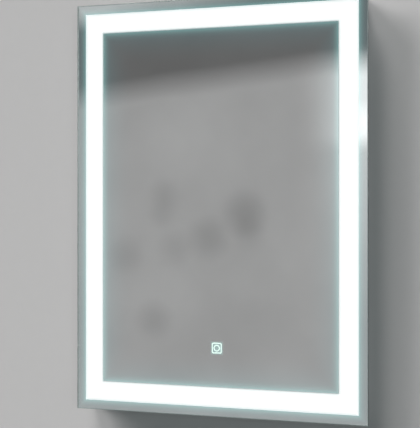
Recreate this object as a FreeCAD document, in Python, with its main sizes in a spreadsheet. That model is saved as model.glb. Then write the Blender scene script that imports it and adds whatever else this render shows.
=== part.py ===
"""Wall-hung bathroom mirror with a lit band and a touch switch.

A glass sheet, silvered on its back, overhangs a shallow frame of four mitred aluminium
extrusions. The silvering is left out in a band, where opal panels are lit by strips of lamps
lying in the frame. A panel closes the frame behind and carries the driver, the terminal block
and the hanger, which hooks over a rail screwed to the wall.

Axes: +X to the right as seen from the front, +Z up, and the mirror faces -Y. The origin is the
middle of the wall rail's row of screw holes, on the wall. Depths below are distances from the
wall towards the front, so a depth of w lies at y = -w.
"""

import FreeCAD, Part
import math
import os
import re
import Sketcher
from FreeCAD import Placement, Rotation, Vector

# ---------------------------------------------------------------- driving sizes, millimetres

SIZES = {
    # glass and silvering
    "glass_width": 600.0,
    "glass_height": 800.0,
    "glass_thickness": 5.0,
    "glass_arris": 0.8,
    "silver_thickness": 0.3,
    "rim_width": 18.0,
    "band_width": 39.0,
    # touch symbol
    "symbol_height": 131.0,
    "symbol_size": 20.5,
    "symbol_line": 2.0,
    "symbol_corner": 3.4,
    "symbol_ring": 13.0,
    # frame extrusions
    "wall_gap": 2.0,
    "frame_depth": 31.7,
    "frame_inset": 14.0,
    "frame_wall": 1.6,
    "flange_reach": 6.0,
    "channel_depth": 14.0,
    "diffuser_thickness": 2.0,
    "diffuser_lap": 2.5,
    "diffuser_lip": 1.2,
    "bond_thickness": 1.0,
    "bond_margin": 0.5,
    "fit_gap": 0.2,
    # corner keys and their grub screws
    "key_leg": 45.0,
    "key_width": 11.0,
    "grub_radius": 2.0,
    "grub_reach": 30.0,
    "thread_gap": 0.05,
    "access_gap": 0.4,
    # strips of lamps
    "strip_width": 10.0,
    "strip_thickness": 0.4,
    "strip_end": 9.0,
    "lamp_pitch": 16.67,
    "lamp_length": 3.5,
    "lamp_width": 2.8,
    "lamp_thickness": 0.8,
    # back panel
    "panel_recess": 9.0,
    "panel_thickness": 1.0,
    "panel_ledge": 12.0,
    "panel_gap": 0.5,
    "panel_screw_end": 85.0,
    "screw_radius": 1.75,
    "screw_clearance": 0.25,
    "screw_head_radius": 3.8,
    "screw_head_height": 2.0,
    "screw_length": 5.5,
    "vent_length": 46.0,
    "vent_width": 4.0,
    "vent_pitch": 11.0,
    "vent_height": 205.0,
    # hanging rails
    "hang_inset": 150.0,
    "wall_rail_length": 450.0,
    "hanger_length": 400.0,
    "rail_thickness": 2.0,
    "wall_rail_below": 15.0,
    "wall_rail_above": 12.0,
    "hook_stand_off": 8.0,
    "hook_height": 12.0,
    "lip_height": 8.0,
    "lip_play": 0.6,
    "hanger_plate": 24.0,
    "wall_hole_radius": 2.75,
    "wall_slot_length": 15.0,
    "wall_slot_spacing": 400.0,
    "wall_hole_spacing": 150.0,
    "rivet_radius": 2.0,
    "rivet_head_radius": 3.8,
    "rivet_head_height": 1.2,
    "rivet_tail": 2.5,
    "rivet_end": 20.0,
    # rubber spacers that hold the lower edge off the wall
    "spacer_radius": 11.0,
    "spacer_inset": 85.0,
    "spacer_bore_radius": 5.0,
    "spacer_bore_depth": 5.0,
    # cable entry
    "grommet_x": -150.0,
    "grommet_z": -60.0,
    "grommet_radius": 10.0,
    "grommet_neck_radius": 8.0,
    "grommet_flange": 1.8,
    "cable_bore_radius": 3.6,
    # terminal block
    "block_x": -85.0,
    "block_length": 22.0,
    "block_width": 40.0,
    "block_thickness": 15.0,
    "block_pitch": 11.0,
    "block_ear": 7.0,
    "clamp_screw_radius": 2.0,
    "clamp_screw_length": 3.0,
    "clamp_well_depth": 6.0,
    # driver
    "driver_x": 75.0,
    "driver_z": -60.0,
    "driver_length": 150.0,
    "driver_width": 52.0,
    "driver_height": 17.0,
    "driver_wall": 1.5,
    "driver_corner": 4.0,
    "driver_lug": 16.0,
    "driver_lug_thickness": 2.0,
    "board_stand": 3.0,
    "board_thickness": 1.6,
    "board_post_radius": 3.0,
    "coil_length": 28.0,
    "coil_width": 26.0,
    "coil_height": 8.0,
    "capacitor_radius": 5.0,
    "capacitor_height": 7.5,
    # touch switch behind the symbol
    "guide_size": 26.0,
    "guide_thickness": 3.0,
    "touch_case_size": 48.0,
    "touch_case_depth": 12.0,
    "touch_case_wall": 2.0,
    "touch_case_ledge": 2.5,
    "touch_case_corner": 5.0,
    # internal leads and their clips
    "lead_radius": 1.5,
    "lead_bend": 12.0,
    "lead_offset": 20.0,
    "lead_slack": 8.0,
    "slack_reach": 15.0,
    "lead_entry": 12.0,
    "clip_base": 1.4,
    "clip_reach": 24.0,
    "clip_run": 14.0,
    "clip_length": 9.0,
    "clip_wall": 1.6,
    "clip_height": 3.6,
}

doc = FreeCAD.newDocument("LightedMirror")
sheet = doc.addObject("Spreadsheet::Sheet", "Dims")
for row, (alias, value) in enumerate(SIZES.items(), start=1):
    sheet.set(f"A{row}", alias.replace("_", " "))
    sheet.set(f"B{row}", str(value))
    sheet.setAlias(f"B{row}", alias)
doc.recompute()


def linked(expression):
    """An expression with each size's name turned into a reference to its cell."""
    return re.sub(
        r"[a-z]\w*",
        lambda word: "Dims." + word.group(0) if word.group(0) in SIZES else word.group(0),
        str(expression),
    )


def number(expression):
    """The value that an expression has now."""
    value = sheet.evalExpression(linked(expression))
    return float(getattr(value, "Value", value))


# ---------------------------------------------------------------- depths and insets

FRAME_FRONT = "(wall_gap + frame_depth)"
SILVER_REAR = f"({FRAME_FRONT} + bond_thickness)"
GLASS_REAR = f"({SILVER_REAR} + silver_thickness)"
DIFFUSER_REAR = f"({GLASS_REAR} - diffuser_thickness)"
CHANNEL_FLOOR = f"({FRAME_FRONT} - channel_depth)"
CHANNEL_REAR = f"({CHANNEL_FLOOR} - frame_wall)"
PANEL_REAR = "(wall_gap + panel_recess)"
PANEL_FRONT = f"({PANEL_REAR} + panel_thickness)"
LEDGE_FRONT = f"({PANEL_FRONT} + frame_wall)"
STRIP_FRONT = f"({CHANNEL_FLOOR} + strip_thickness)"
CLIP_FLOOR = f"({PANEL_FRONT} + clip_base)"
LEAD_DEPTH = f"({CLIP_FLOOR} + lead_radius)"
MAINS_LEAD_DEPTH = f"({PANEL_FRONT} + driver_lug_thickness + fit_gap + lead_radius)"
LAMP_LEAD_DEPTH = f"({STRIP_FRONT} + lead_radius)"
TOUCH_LEAD_DEPTH = f"({SILVER_REAR} - touch_case_depth / 2)"

BAND_INNER = "(rim_width + band_width)"
BAND_MIDDLE = "(rim_width + band_width / 2)"
WALL_INNER = "(frame_inset + frame_wall)"
CHANNEL_INNER = f"({BAND_INNER} + frame_wall)"
SCREW_LINE = f"({WALL_INNER} + panel_ledge / 2)"
KEY_LINE = f"({WALL_INNER} + fit_gap + key_width / 2)"
SYMBOL_Z = "(symbol_height - glass_height / 2)"

HALF_WIDTH = "(glass_width / 2)"
HALF_HEIGHT = "(glass_height / 2)"
HANG_DROP = f"({HALF_HEIGHT} - hang_inset)"

# Each side of the frame: its name, its turn about Y from the top side, its half length and its
# distance from the mirror's middle.
SIDES = (
    ("top", 0, HALF_WIDTH, HALF_HEIGHT),
    ("right", 90, HALF_HEIGHT, HALF_WIDTH),
    ("bottom", 180, HALF_WIDTH, HALF_HEIGHT),
    ("left", 270, HALF_HEIGHT, HALF_WIDTH),
)
CORNERS = (
    ("top_left", -1, 1),
    ("top_right", 1, 1),
    ("bottom_left", -1, -1),
    ("bottom_right", 1, -1),
)
TOP_SCREW_COUNT = 4
SIDE_SCREW_COUNT = 5
RIVET_COUNT = 4
VENT_COUNT = 7

# ---------------------------------------------------------------- outlines for sketches


def rectangle(left, right, low, high):
    return ("polygon", [(left, low), (right, low), (right, high), (left, high)])


def centred(x, z, width, height):
    return rectangle(
        f"{x} - {width} / 2", f"{x} + {width} / 2", f"{z} - {height} / 2", f"{z} + {height} / 2"
    )


def inset_rectangle(inset):
    """A rectangle that lies a given distance inside the glass's outline."""
    return centred("0", "0", f"(glass_width - 2 * ({inset}))", f"(glass_height - 2 * ({inset}))")


def rounded(x, z, width, height, radius):
    return ("rounded", x, z, width, height, radius)


def slot(x, z, length, width):
    return ("slot", x, z, length, width)


def circle(x, z, radius):
    return ("circle", x, z, radius)


class Drawing:
    """Fills a sketch with outlines. Each corner, centre and radius is bound to an expression."""

    def __init__(self, sketch):
        self.sketch = sketch
        self.constraints = []
        self.bound = []

    def add(self, *curves):
        first = self.sketch.GeometryCount
        self.sketch.addGeometry(list(curves), False)
        return first

    def hold(self, kind, *where, size):
        self.bound.append((len(self.constraints), size))
        self.constraints.append(Sketcher.Constraint(kind, *where, number(size)))

    def hold_point(self, geometry, end, x, z):
        self.hold("DistanceX", -1, 1, geometry, end, size=x)
        self.hold("DistanceY", -1, 1, geometry, end, size=z)

    def join_ends(self, first, count):
        for step in range(count):
            following = first + (step + 1) % count
            self.constraints.append(
                Sketcher.Constraint("Coincident", first + step, 2, following, 1)
            )

    def finish(self):
        self.sketch.addConstraint(self.constraints)
        for index, size in self.bound:
            self.sketch.setExpression(f"Constraints[{index}]", linked(size))

    def polygon(self, points):
        places = [place(x, z) for x, z in points]
        following = places[1:] + places[:1]
        first = self.add(*[Part.LineSegment(*ends) for ends in zip(places, following)])
        self.join_ends(first, len(places))
        for step, (x, z) in enumerate(points):
            self.hold_point(first + step, 1, x, z)

    def rounded(self, x, z, width, height, radius):
        """A rectangle with round corners: lines and arcs in turn, anticlockwise."""
        left, right = f"{x} - ({width}) / 2", f"{x} + ({width}) / 2"
        low, high = f"{z} - ({height}) / 2", f"{z} + ({height}) / 2"
        runs = [
            ((f"{left} + ({radius})", low), (f"{right} - ({radius})", low)),
            ((right, f"{low} + ({radius})"), (right, f"{high} - ({radius})")),
            ((f"{right} - ({radius})", high), (f"{left} + ({radius})", high)),
            ((left, f"{high} - ({radius})"), (left, f"{low} + ({radius})")),
        ]
        bend = number(radius)
        curves = []
        for turn, (start, end) in enumerate(runs):
            start, end = place(*start), place(*end)
            along = Vector(end - start).normalize()
            centre = end + Vector(-along.y, along.x, 0) * bend
            curves.append(Part.LineSegment(start, end))
            curves.append(arc(centre, bend, 90 * turn - 90, 90 * turn))
        first = self.add(*curves)
        self.join_ends(first, len(curves))
        for turn, (start, end) in enumerate(runs):
            self.hold_point(first + 2 * turn, 1, *start)
            self.hold_point(first + 2 * turn, 2, *end)
            self.hold("Radius", first + 2 * turn + 1, size=radius)

    def slot(self, x, z, length, width):
        """A slot along X with round ends."""
        left = f"{x} - (({length}) - ({width})) / 2"
        right = f"{x} + (({length}) - ({width})) / 2"
        low, high = f"{z} - ({width}) / 2", f"{z} + ({width}) / 2"
        half = number(width) / 2
        first = self.add(
            Part.LineSegment(place(left, low), place(right, low)),
            arc(place(right, z), half, -90, 90),
            Part.LineSegment(place(right, high), place(left, high)),
            arc(place(left, z), half, 90, 270),
        )
        self.join_ends(first, 4)
        self.hold_point(first, 1, left, low)
        self.hold_point(first, 2, right, low)
        self.hold_point(first + 2, 1, right, high)
        self.hold_point(first + 2, 2, left, high)
        self.hold("DistanceX", -1, 1, first + 1, 3, size=right)
        self.hold("DistanceX", -1, 1, first + 3, 3, size=left)

    def circle(self, x, z, radius):
        ring = self.add(Part.Circle(place(x, z), Vector(0, 0, 1), number(radius)))
        self.hold_point(ring, 3, x, z)
        self.hold("Radius", ring, size=radius)


def place(x, z):
    """A point of a sketch, from two expressions."""
    return Vector(number(x), number(z), 0)


def arc(centre, radius, start, end):
    """An anticlockwise arc between two angles in degrees."""
    ring = Part.Circle(centre, Vector(0, 0, 1), radius)
    return Part.ArcOfCircle(ring, math.radians(start), math.radians(end))


# ---------------------------------------------------------------- bodies and features

pieces = []


def new_body(label, turn=0, drop=HANG_DROP):
    """A body measured from the mirror's middle on the wall, turned about Y."""
    body = doc.addObject("PartDesign::Body", label)
    body.Label = label
    body.AllowCompound = True
    body.Placement = Placement(Vector(0, 0, 0), Rotation(Vector(0, 1, 0), turn))
    body.setExpression("Placement.Base.z", linked(f"-({drop})"))
    pieces.append(body)
    return body


def origin_feature(body, role):
    return next(item for item in body.Origin.OriginFeatures if item.Role == role)


def sketch_on(body, plane, depth, outlines):
    sketch = body.newObject("Sketcher::SketchObject", "Outline")
    sketch.AttachmentSupport = (origin_feature(body, plane), "")
    sketch.MapMode = "FlatFace"
    sketch.setExpression("AttachmentOffset.Base.z", linked(depth))
    drawing = Drawing(sketch)
    for kind, *sizes in outlines:
        getattr(drawing, kind)(*sizes)
    drawing.finish()
    return sketch


def add_plate(body, rear, thickness, outlines):
    """Add material in front of a depth, as outlined in front view."""
    pad = body.newObject("PartDesign::Pad", "Plate")
    pad.Profile = sketch_on(body, "XZ_Plane", rear, outlines)
    pad.setExpression("Length", linked(thickness))
    body.Tip = pad
    return pad


def cut_plate(body, front, thickness, outlines):
    """Remove material behind a depth, as outlined in front view."""
    pocket = body.newObject("PartDesign::Pocket", "Cut")
    pocket.Profile = sketch_on(body, "XZ_Plane", front, outlines)
    pocket.setExpression("Length", linked(thickness))
    body.Tip = pocket
    return pocket


def add_bar(body, section, length):
    """Add a bar along X with a section given as (depth, height) points."""
    outline = ("polygon", [(f"-({depth})", height) for depth, height in section])
    pad = body.newObject("PartDesign::Pad", "Bar")
    pad.Profile = sketch_on(body, "YZ_Plane", "0", [outline])
    pad.SideType = "Symmetric"
    pad.setExpression("Length", linked(length))
    body.Tip = pad
    return pad


def chamfer_edges(body, chosen, size):
    """Chamfer the edges of the body's last feature that a test picks."""
    doc.recompute()
    base = body.Tip
    names = [f"Edge{i}" for i, edge in enumerate(base.Shape.Edges, start=1) if chosen(edge)]
    chamfer = body.newObject("PartDesign::Chamfer", "Arris")
    chamfer.Base = (base, names)
    chamfer.setExpression("Size", linked(size))
    body.Tip = chamfer
    return chamfer


def add_screws(label, places, head_rear, head_height, head_radius, radius, length):
    """A set of like screws whose heads lie behind and whose shanks point forward."""
    body = new_body(label)
    head_front = f"({head_rear} + {head_height})"
    add_plate(body, head_rear, head_height, [circle(x, z, head_radius) for x, z in places])
    add_plate(body, head_front, length, [circle(x, z, radius) for x, z in places])
    return body


def evenly_spaced(half, count):
    """Places from one end of a row to the other, from the row's half length."""
    return [f"({half}) * ({2 * step / (count - 1) - 1})" for step in range(count)]


# ---------------------------------------------------------------- places of the fastenings

ALONG = {
    "top": evenly_spaced(f"{HALF_WIDTH} - panel_screw_end", TOP_SCREW_COUNT),
    "right": evenly_spaced(f"{HALF_HEIGHT} - panel_screw_end", SIDE_SCREW_COUNT),
}
ALONG["bottom"] = ALONG["top"]
ALONG["left"] = ALONG["right"]

PANEL_SCREWS = [
    (x, f"{side} * ({HALF_HEIGHT} - {SCREW_LINE})") for side in (-1, 1) for x in ALONG["top"]
] + [
    (f"{side} * ({HALF_WIDTH} - {SCREW_LINE})", z) for side in (-1, 1) for z in ALONG["right"]
]

# Hanger rivets, from the mirror's middle: a row of four in the hanger's plate.
HANGER_FOOT = "(wall_rail_above + hook_height + rail_thickness)"
RIVET_Z = f"({HANGER_FOOT} + hanger_plate / 2)"
RIVETS = [
    (x, f"{HANG_DROP} + {RIVET_Z}")
    for x in evenly_spaced("hanger_length / 2 - rivet_end", RIVET_COUNT)
]

SPACERS = [
    (f"{side} * ({HALF_WIDTH} - spacer_inset)", f"spacer_inset - {HALF_HEIGHT}") for side in (-1, 1)
]

DRIVER_LUGS = [
    (f"driver_x + ({side}) * (driver_length + driver_lug) / 2", "driver_z") for side in (-1, 1)
]
BLOCK_EARS = [
    ("block_x", f"driver_z + ({side}) * (block_width + block_ear) / 2") for side in (-1, 1)
]

# ---------------------------------------------------------------- glass and silvering


def make_glass():
    body = new_body("mirror_glass")
    add_plate(body, GLASS_REAR, "glass_thickness", [inset_rectangle("0")])
    chamfer_edges(body, lambda edge: abs(edge.tangentAt(edge.FirstParameter).y) < 0.5, "glass_arris")


def make_silvering():
    """The silver stops at the lit band. The touch symbol is scraped out of the inner field."""
    field = new_body("silver_field")
    add_plate(field, SILVER_REAR, "silver_thickness", [inset_rectangle(BAND_INNER)])
    inner_size = "(symbol_size - 2 * symbol_line)"
    symbol = [
        rounded("0", SYMBOL_Z, "symbol_size", "symbol_size", "symbol_corner"),
        rounded("0", SYMBOL_Z, inner_size, inner_size, "(symbol_corner - symbol_line)"),
        circle("0", SYMBOL_Z, "symbol_ring / 2"),
        circle("0", SYMBOL_Z, "(symbol_ring / 2 - symbol_line)"),
    ]
    cut_plate(field, GLASS_REAR, "silver_thickness", symbol)
    rim = new_body("silver_rim")
    rings = [inset_rectangle("glass_arris"), inset_rectangle("rim_width")]
    add_plate(rim, SILVER_REAR, "silver_thickness", rings)


# ---------------------------------------------------------------- frame


def frame_section(across):
    """The extrusion's section, from its bonding flange down to its skirt."""

    def up(inset):
        return f"{across} - ({inset})"

    lap_outer = up("rim_width + diffuser_lap")
    lap_inner = up(f"{BAND_INNER} - diffuser_lap")
    lip_rear = f"({DIFFUSER_REAR} - diffuser_lip)"
    return [
        (FRAME_FRONT, up("frame_inset - flange_reach")),
        (FRAME_FRONT, up(WALL_INNER)),
        (DIFFUSER_REAR, up(WALL_INNER)),
        (DIFFUSER_REAR, lap_outer),
        (lip_rear, lap_outer),
        (lip_rear, up(WALL_INNER)),
        (CHANNEL_FLOOR, up(WALL_INNER)),
        (CHANNEL_FLOOR, up(BAND_INNER)),
        (lip_rear, up(BAND_INNER)),
        (lip_rear, lap_inner),
        (DIFFUSER_REAR, lap_inner),
        (DIFFUSER_REAR, up(BAND_INNER)),
        (FRAME_FRONT, up(BAND_INNER)),
        (FRAME_FRONT, up(CHANNEL_INNER)),
        (CHANNEL_REAR, up(CHANNEL_INNER)),
        (CHANNEL_REAR, up(WALL_INNER)),
        (LEDGE_FRONT, up(WALL_INNER)),
        (LEDGE_FRONT, up(f"{WALL_INNER} + panel_ledge")),
        (PANEL_FRONT, up(f"{WALL_INNER} + panel_ledge")),
        (PANEL_FRONT, up(WALL_INNER)),
        ("wall_gap", up(WALL_INNER)),
        ("wall_gap", up("frame_inset")),
        (f"{FRAME_FRONT} - frame_wall", up("frame_inset")),
        (f"{FRAME_FRONT} - frame_wall", up("frame_inset - flange_reach")),
    ]


def mitre_cut(side, along, across):
    """What the saw takes off one end of a side."""
    reach = f"({CHANNEL_INNER} + frame_wall)"
    beyond = f"({along} + frame_wall)"
    corner = [
        (along, across),
        (f"{along} - {reach}", f"{across} - {reach}"),
        (beyond, f"{across} - {reach}"),
        (beyond, across),
    ]
    return ("polygon", [(f"({side}) * ({x})", z) for x, z in corner])


def make_frame():
    for name, turn, along, across in SIDES:
        body = new_body(f"frame_{name}", turn)
        add_bar(body, frame_section(across), f"2 * {along}")
        ends = [mitre_cut(side, along, across) for side in (-1, 1)]
        cut_plate(body, FRAME_FRONT, "frame_depth", ends)
        pilots = [
            circle(x, f"{across} - {SCREW_LINE}", "screw_radius + thread_gap") for x in ALONG[name]
        ]
        grub_holes = [
            circle(
                f"({side}) * ({along} - {WALL_INNER} - grub_reach)",
                f"{across} - {KEY_LINE}",
                "grub_radius + access_gap",
            )
            for side in (-1, 1)
        ]
        cut_plate(body, LEDGE_FRONT, "frame_wall", pilots + grub_holes)
        if name == "right":
            drill_lead_hole(body, across)


def drill_lead_hole(body, across):
    """A hole through the channel's inner wall, where the lead to the lamps goes in."""
    pocket = body.newObject("PartDesign::Pocket", "LeadHole")
    hole = circle("-driver_z", f"-({LAMP_LEAD_DEPTH})", "lead_radius + fit_gap")
    pocket.Profile = sketch_on(body, "XY_Plane", f"{across} - {BAND_INNER}", [hole])
    pocket.setExpression("Length", linked("frame_wall"))
    body.Tip = pocket


def make_corner_keys():
    thickness = f"({CHANNEL_REAR} - {LEDGE_FRONT} - fit_gap)"
    near = f"{WALL_INNER} + fit_gap"
    width = f"{near} + key_width"
    leg = f"{WALL_INNER} + key_leg"
    shape = [(near, near), (leg, near), (leg, width), (width, width), (width, leg), (near, leg)]
    grub_places = []
    for name, right, up in CORNERS:
        body = new_body(f"corner_key_{name}")
        outline = [
            (f"({right}) * ({HALF_WIDTH} - ({x}))", f"({up}) * ({HALF_HEIGHT} - ({z}))")
            for x, z in shape
        ]
        add_plate(body, LEDGE_FRONT, thickness, [("polygon", outline)])
        grubs = [(f"{WALL_INNER} + grub_reach", KEY_LINE), (KEY_LINE, f"{WALL_INNER} + grub_reach")]
        places = [
            (f"({right}) * ({HALF_WIDTH} - ({x}))", f"({up}) * ({HALF_HEIGHT} - ({z}))")
            for x, z in grubs
        ]
        holes = [circle(x, z, "grub_radius + thread_gap") for x, z in places]
        cut_plate(body, CHANNEL_REAR, f"{CHANNEL_REAR} - {LEDGE_FRONT}", holes)
        grub_places += places
    grubs = new_body("corner_grub_screws")
    length = f"({CHANNEL_REAR} - {LEDGE_FRONT})"
    add_plate(grubs, LEDGE_FRONT, length, [circle(x, z, "grub_radius") for x, z in grub_places])


def make_bonds():
    bead = new_body("glass_bond")
    rings = [
        inset_rectangle("frame_inset - flange_reach + bond_margin"),
        inset_rectangle(f"{WALL_INNER} - bond_margin"),
    ]
    add_plate(bead, FRAME_FRONT, "bond_thickness", rings)
    seal = new_body("light_seal")
    rings = [inset_rectangle(BAND_INNER), inset_rectangle(CHANNEL_INNER)]
    add_plate(seal, FRAME_FRONT, "bond_thickness", rings)


# ---------------------------------------------------------------- light


def mitred_strip(along, across, near, far, gap):
    """A strip between two insets whose ends stop a gap short of the mitre."""
    return ("polygon", [
        (f"-({along} - ({near}) - {gap})", f"{across} - ({near})"),
        (f"-({along} - ({far}) - {gap})", f"{across} - ({far})"),
        (f"{along} - ({far}) - {gap}", f"{across} - ({far})"),
        (f"{along} - ({near}) - {gap}", f"{across} - ({near})"),
    ])


def make_diffusers():
    for name, turn, along, across in SIDES:
        body = new_body(f"diffuser_{name}", turn)
        outline = mitred_strip(
            along, across, "rim_width + fit_gap", f"{BAND_INNER} - fit_gap", "fit_gap / 2"
        )
        add_plate(body, DIFFUSER_REAR, "diffuser_thickness", [outline])


def make_lamp_strips():
    for name, turn, along, across in SIDES:
        body = new_body(f"lamp_strip_{name}", turn)
        middle = f"{across} - {BAND_MIDDLE}"
        half = f"({along} - {BAND_MIDDLE} - strip_end)"
        tape = centred("0", middle, f"(2 * {half})", "strip_width")
        add_plate(body, CHANNEL_FLOOR, "strip_thickness", [tape])
        count = int((2 * number(half) - number("lamp_length")) // number("lamp_pitch"))
        start = f"(-lamp_pitch * {(count - 1) / 2})"
        lamp = add_plate(
            body, STRIP_FRONT, "lamp_thickness", [centred(start, middle, "lamp_length", "lamp_width")]
        )
        row = body.newObject("PartDesign::LinearPattern", "Lamps")
        row.Originals = [lamp]
        row.Direction = (origin_feature(body, "X_Axis"), [""])
        row.Mode = "Spacing"
        row.Occurrences = count
        row.setExpression("Offset", linked("lamp_pitch"))
        body.Tip = row


def make_strip_links():
    """Flat links that carry the current round three of the corners."""
    body = new_body("strip_links")
    near = f"({BAND_MIDDLE} - strip_width / 2)"
    far = f"({BAND_MIDDLE} + strip_width / 2)"
    end = f"({BAND_MIDDLE} + strip_end)"
    shape = [(near, near), (end, near), (end, far), (far, far), (far, end), (near, end)]
    outlines = []
    for _, right, up in CORNERS[:3]:
        outlines.append(("polygon", [
            (f"({right}) * ({HALF_WIDTH} - {x})", f"({up}) * ({HALF_HEIGHT} - {z})")
            for x, z in shape
        ]))
    add_plate(body, CHANNEL_FLOOR, "strip_thickness", outlines)


# ---------------------------------------------------------------- back panel


def make_back_panel():
    body = new_body("back_panel")
    add_plate(body, PANEL_REAR, "panel_thickness", [inset_rectangle(f"{WALL_INNER} + panel_gap")])
    clearance = "screw_radius + screw_clearance"
    holes = [circle(x, z, clearance) for x, z in PANEL_SCREWS + SPACERS]
    holes += [circle(x, z, clearance) for x, z in DRIVER_LUGS + BLOCK_EARS]
    holes += [circle(x, z, "rivet_radius + thread_gap") for x, z in RIVETS]
    holes.append(circle("grommet_x", "grommet_z", "grommet_neck_radius"))
    cut_plate(body, PANEL_FRONT, "panel_thickness", holes)
    vents = [
        slot(f"({side}) * {HALF_WIDTH} / 2", f"vent_pitch * ({step}) - vent_height",
             "vent_length", "vent_width")
        for side in (-1, 1) for step in range(VENT_COUNT)
    ]
    cut_plate(body, PANEL_FRONT, "panel_thickness", vents)
    add_screws(
        "panel_screws", PANEL_SCREWS, f"({PANEL_REAR} - screw_head_height)", "screw_head_height",
        "screw_head_radius", "screw_radius", "screw_length",
    )


# ---------------------------------------------------------------- hanging


def make_wall_rail():
    """Screwed to the wall. Its front lip points up and carries the mirror."""
    body = new_body("wall_rail", drop="0")
    hook_top = "(wall_rail_above + hook_height)"
    section = [
        ("0", "-wall_rail_below"),
        ("rail_thickness", "-wall_rail_below"),
        ("rail_thickness", "wall_rail_above"),
        ("hook_stand_off", "wall_rail_above"),
        ("hook_stand_off", hook_top),
        ("hook_stand_off - rail_thickness", hook_top),
        ("hook_stand_off - rail_thickness", "wall_rail_above + rail_thickness"),
        ("0", "wall_rail_above + rail_thickness"),
    ]
    add_bar(body, section, "wall_rail_length")
    slots = [
        slot(f"({side}) * wall_slot_spacing / 2", "0", "wall_slot_length", "2 * wall_hole_radius")
        for side in (-1, 1)
    ]
    holes = [circle(f"({side}) * wall_hole_spacing / 2", "0", "wall_hole_radius") for side in (-1, 1)]
    cut_plate(body, "rail_thickness", "rail_thickness", slots + holes)


def make_hanger():
    """Riveted to the panel. Its rear lip points down behind the wall rail's lip."""
    body = new_body("hanger_rail", drop="0")
    seat = "(wall_rail_above + hook_height)"
    lip_front = "(hook_stand_off - rail_thickness - lip_play)"
    lip_rear = f"({lip_front} - rail_thickness)"
    top = f"({HANGER_FOOT} + hanger_plate)"
    section = [
        (PANEL_REAR, seat),
        (PANEL_REAR, top),
        (f"{PANEL_REAR} - rail_thickness", top),
        (f"{PANEL_REAR} - rail_thickness", HANGER_FOOT),
        (lip_rear, HANGER_FOOT),
        (lip_rear, f"{seat} - lip_height"),
        (lip_front, f"{seat} - lip_height"),
        (lip_front, seat),
    ]
    add_bar(body, section, "hanger_length")
    holes = [circle(x, RIVET_Z, "rivet_radius + thread_gap") for x, z in RIVETS]
    cut_plate(body, PANEL_REAR, "rail_thickness", holes)
    plate_rear = f"({PANEL_REAR} - rail_thickness)"
    rivets = new_body("hanger_rivets")
    shank = "rail_thickness + panel_thickness"
    add_plate(rivets, f"({plate_rear} - rivet_head_height)", "rivet_head_height",
              [circle(x, z, "rivet_head_radius") for x, z in RIVETS])
    add_plate(rivets, plate_rear, shank, [circle(x, z, "rivet_radius") for x, z in RIVETS])
    add_plate(rivets, PANEL_FRONT, "rivet_tail",
              [circle(x, z, "rivet_radius + rivet_head_height") for x, z in RIVETS])


def make_spacers():
    """Rubber feet that keep the lower edge parallel to the wall."""
    for name, (x, z) in zip(("left", "right"), SPACERS):
        body = new_body(f"spacer_{name}")
        add_plate(body, "0", PANEL_REAR, [circle(x, z, "spacer_radius")])
        cut_plate(body, "spacer_bore_depth", "spacer_bore_depth",
                  [circle(x, z, "spacer_bore_radius")])
        cut_plate(body, PANEL_REAR, PANEL_REAR, [circle(x, z, "screw_radius + screw_clearance")])
    length = f"({PANEL_FRONT} - spacer_bore_depth + screw_head_height)"
    add_screws(
        "spacer_screws", SPACERS, "(spacer_bore_depth - screw_head_height)", "screw_head_height",
        "screw_head_radius", "screw_radius", length,
    )


# ---------------------------------------------------------------- mains side


def make_grommet():
    body = new_body("cable_grommet")
    middle = ("grommet_x", "grommet_z")
    rear = f"({PANEL_REAR} - grommet_flange)"
    add_plate(body, rear, "grommet_flange", [circle(*middle, "grommet_radius")])
    add_plate(body, PANEL_REAR, "panel_thickness", [circle(*middle, "grommet_neck_radius")])
    add_plate(body, PANEL_FRONT, "grommet_flange", [circle(*middle, "grommet_radius")])
    front = f"({PANEL_FRONT} + grommet_flange)"
    cut_plate(body, front, "2 * grommet_flange + panel_thickness",
              [circle(*middle, "cable_bore_radius")])


def make_terminal_block():
    body = new_body("terminal_block")
    ears = centred("block_x", "driver_z", "block_length", "(block_width + 2 * block_ear)")
    add_plate(body, PANEL_FRONT, "driver_lug_thickness", [ears])
    front = f"({PANEL_FRONT} + block_thickness)"
    casing = centred("block_x", "driver_z", "block_length", "block_width")
    add_plate(body, f"({PANEL_FRONT} + driver_lug_thickness)",
              "block_thickness - driver_lug_thickness", [casing])
    holes = [circle(x, z, "screw_radius + thread_gap") for x, z in BLOCK_EARS]
    ear_front = f"({PANEL_FRONT} + driver_lug_thickness)"
    cut_plate(body, ear_front, "driver_lug_thickness", holes)
    wells = [
        (f"block_x + ({side}) * block_length / 4", f"driver_z + block_pitch * ({pole})")
        for side in (-1, 1) for pole in (-1, 0, 1)
    ]
    cut_plate(body, front, "clamp_well_depth",
              [circle(x, z, "clamp_screw_radius + thread_gap") for x, z in wells])
    screws = new_body("terminal_screws")
    add_plate(screws, f"({front} - clamp_well_depth)", "clamp_screw_length",
              [circle(x, z, "clamp_screw_radius") for x, z in wells])


# ---------------------------------------------------------------- driver


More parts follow.
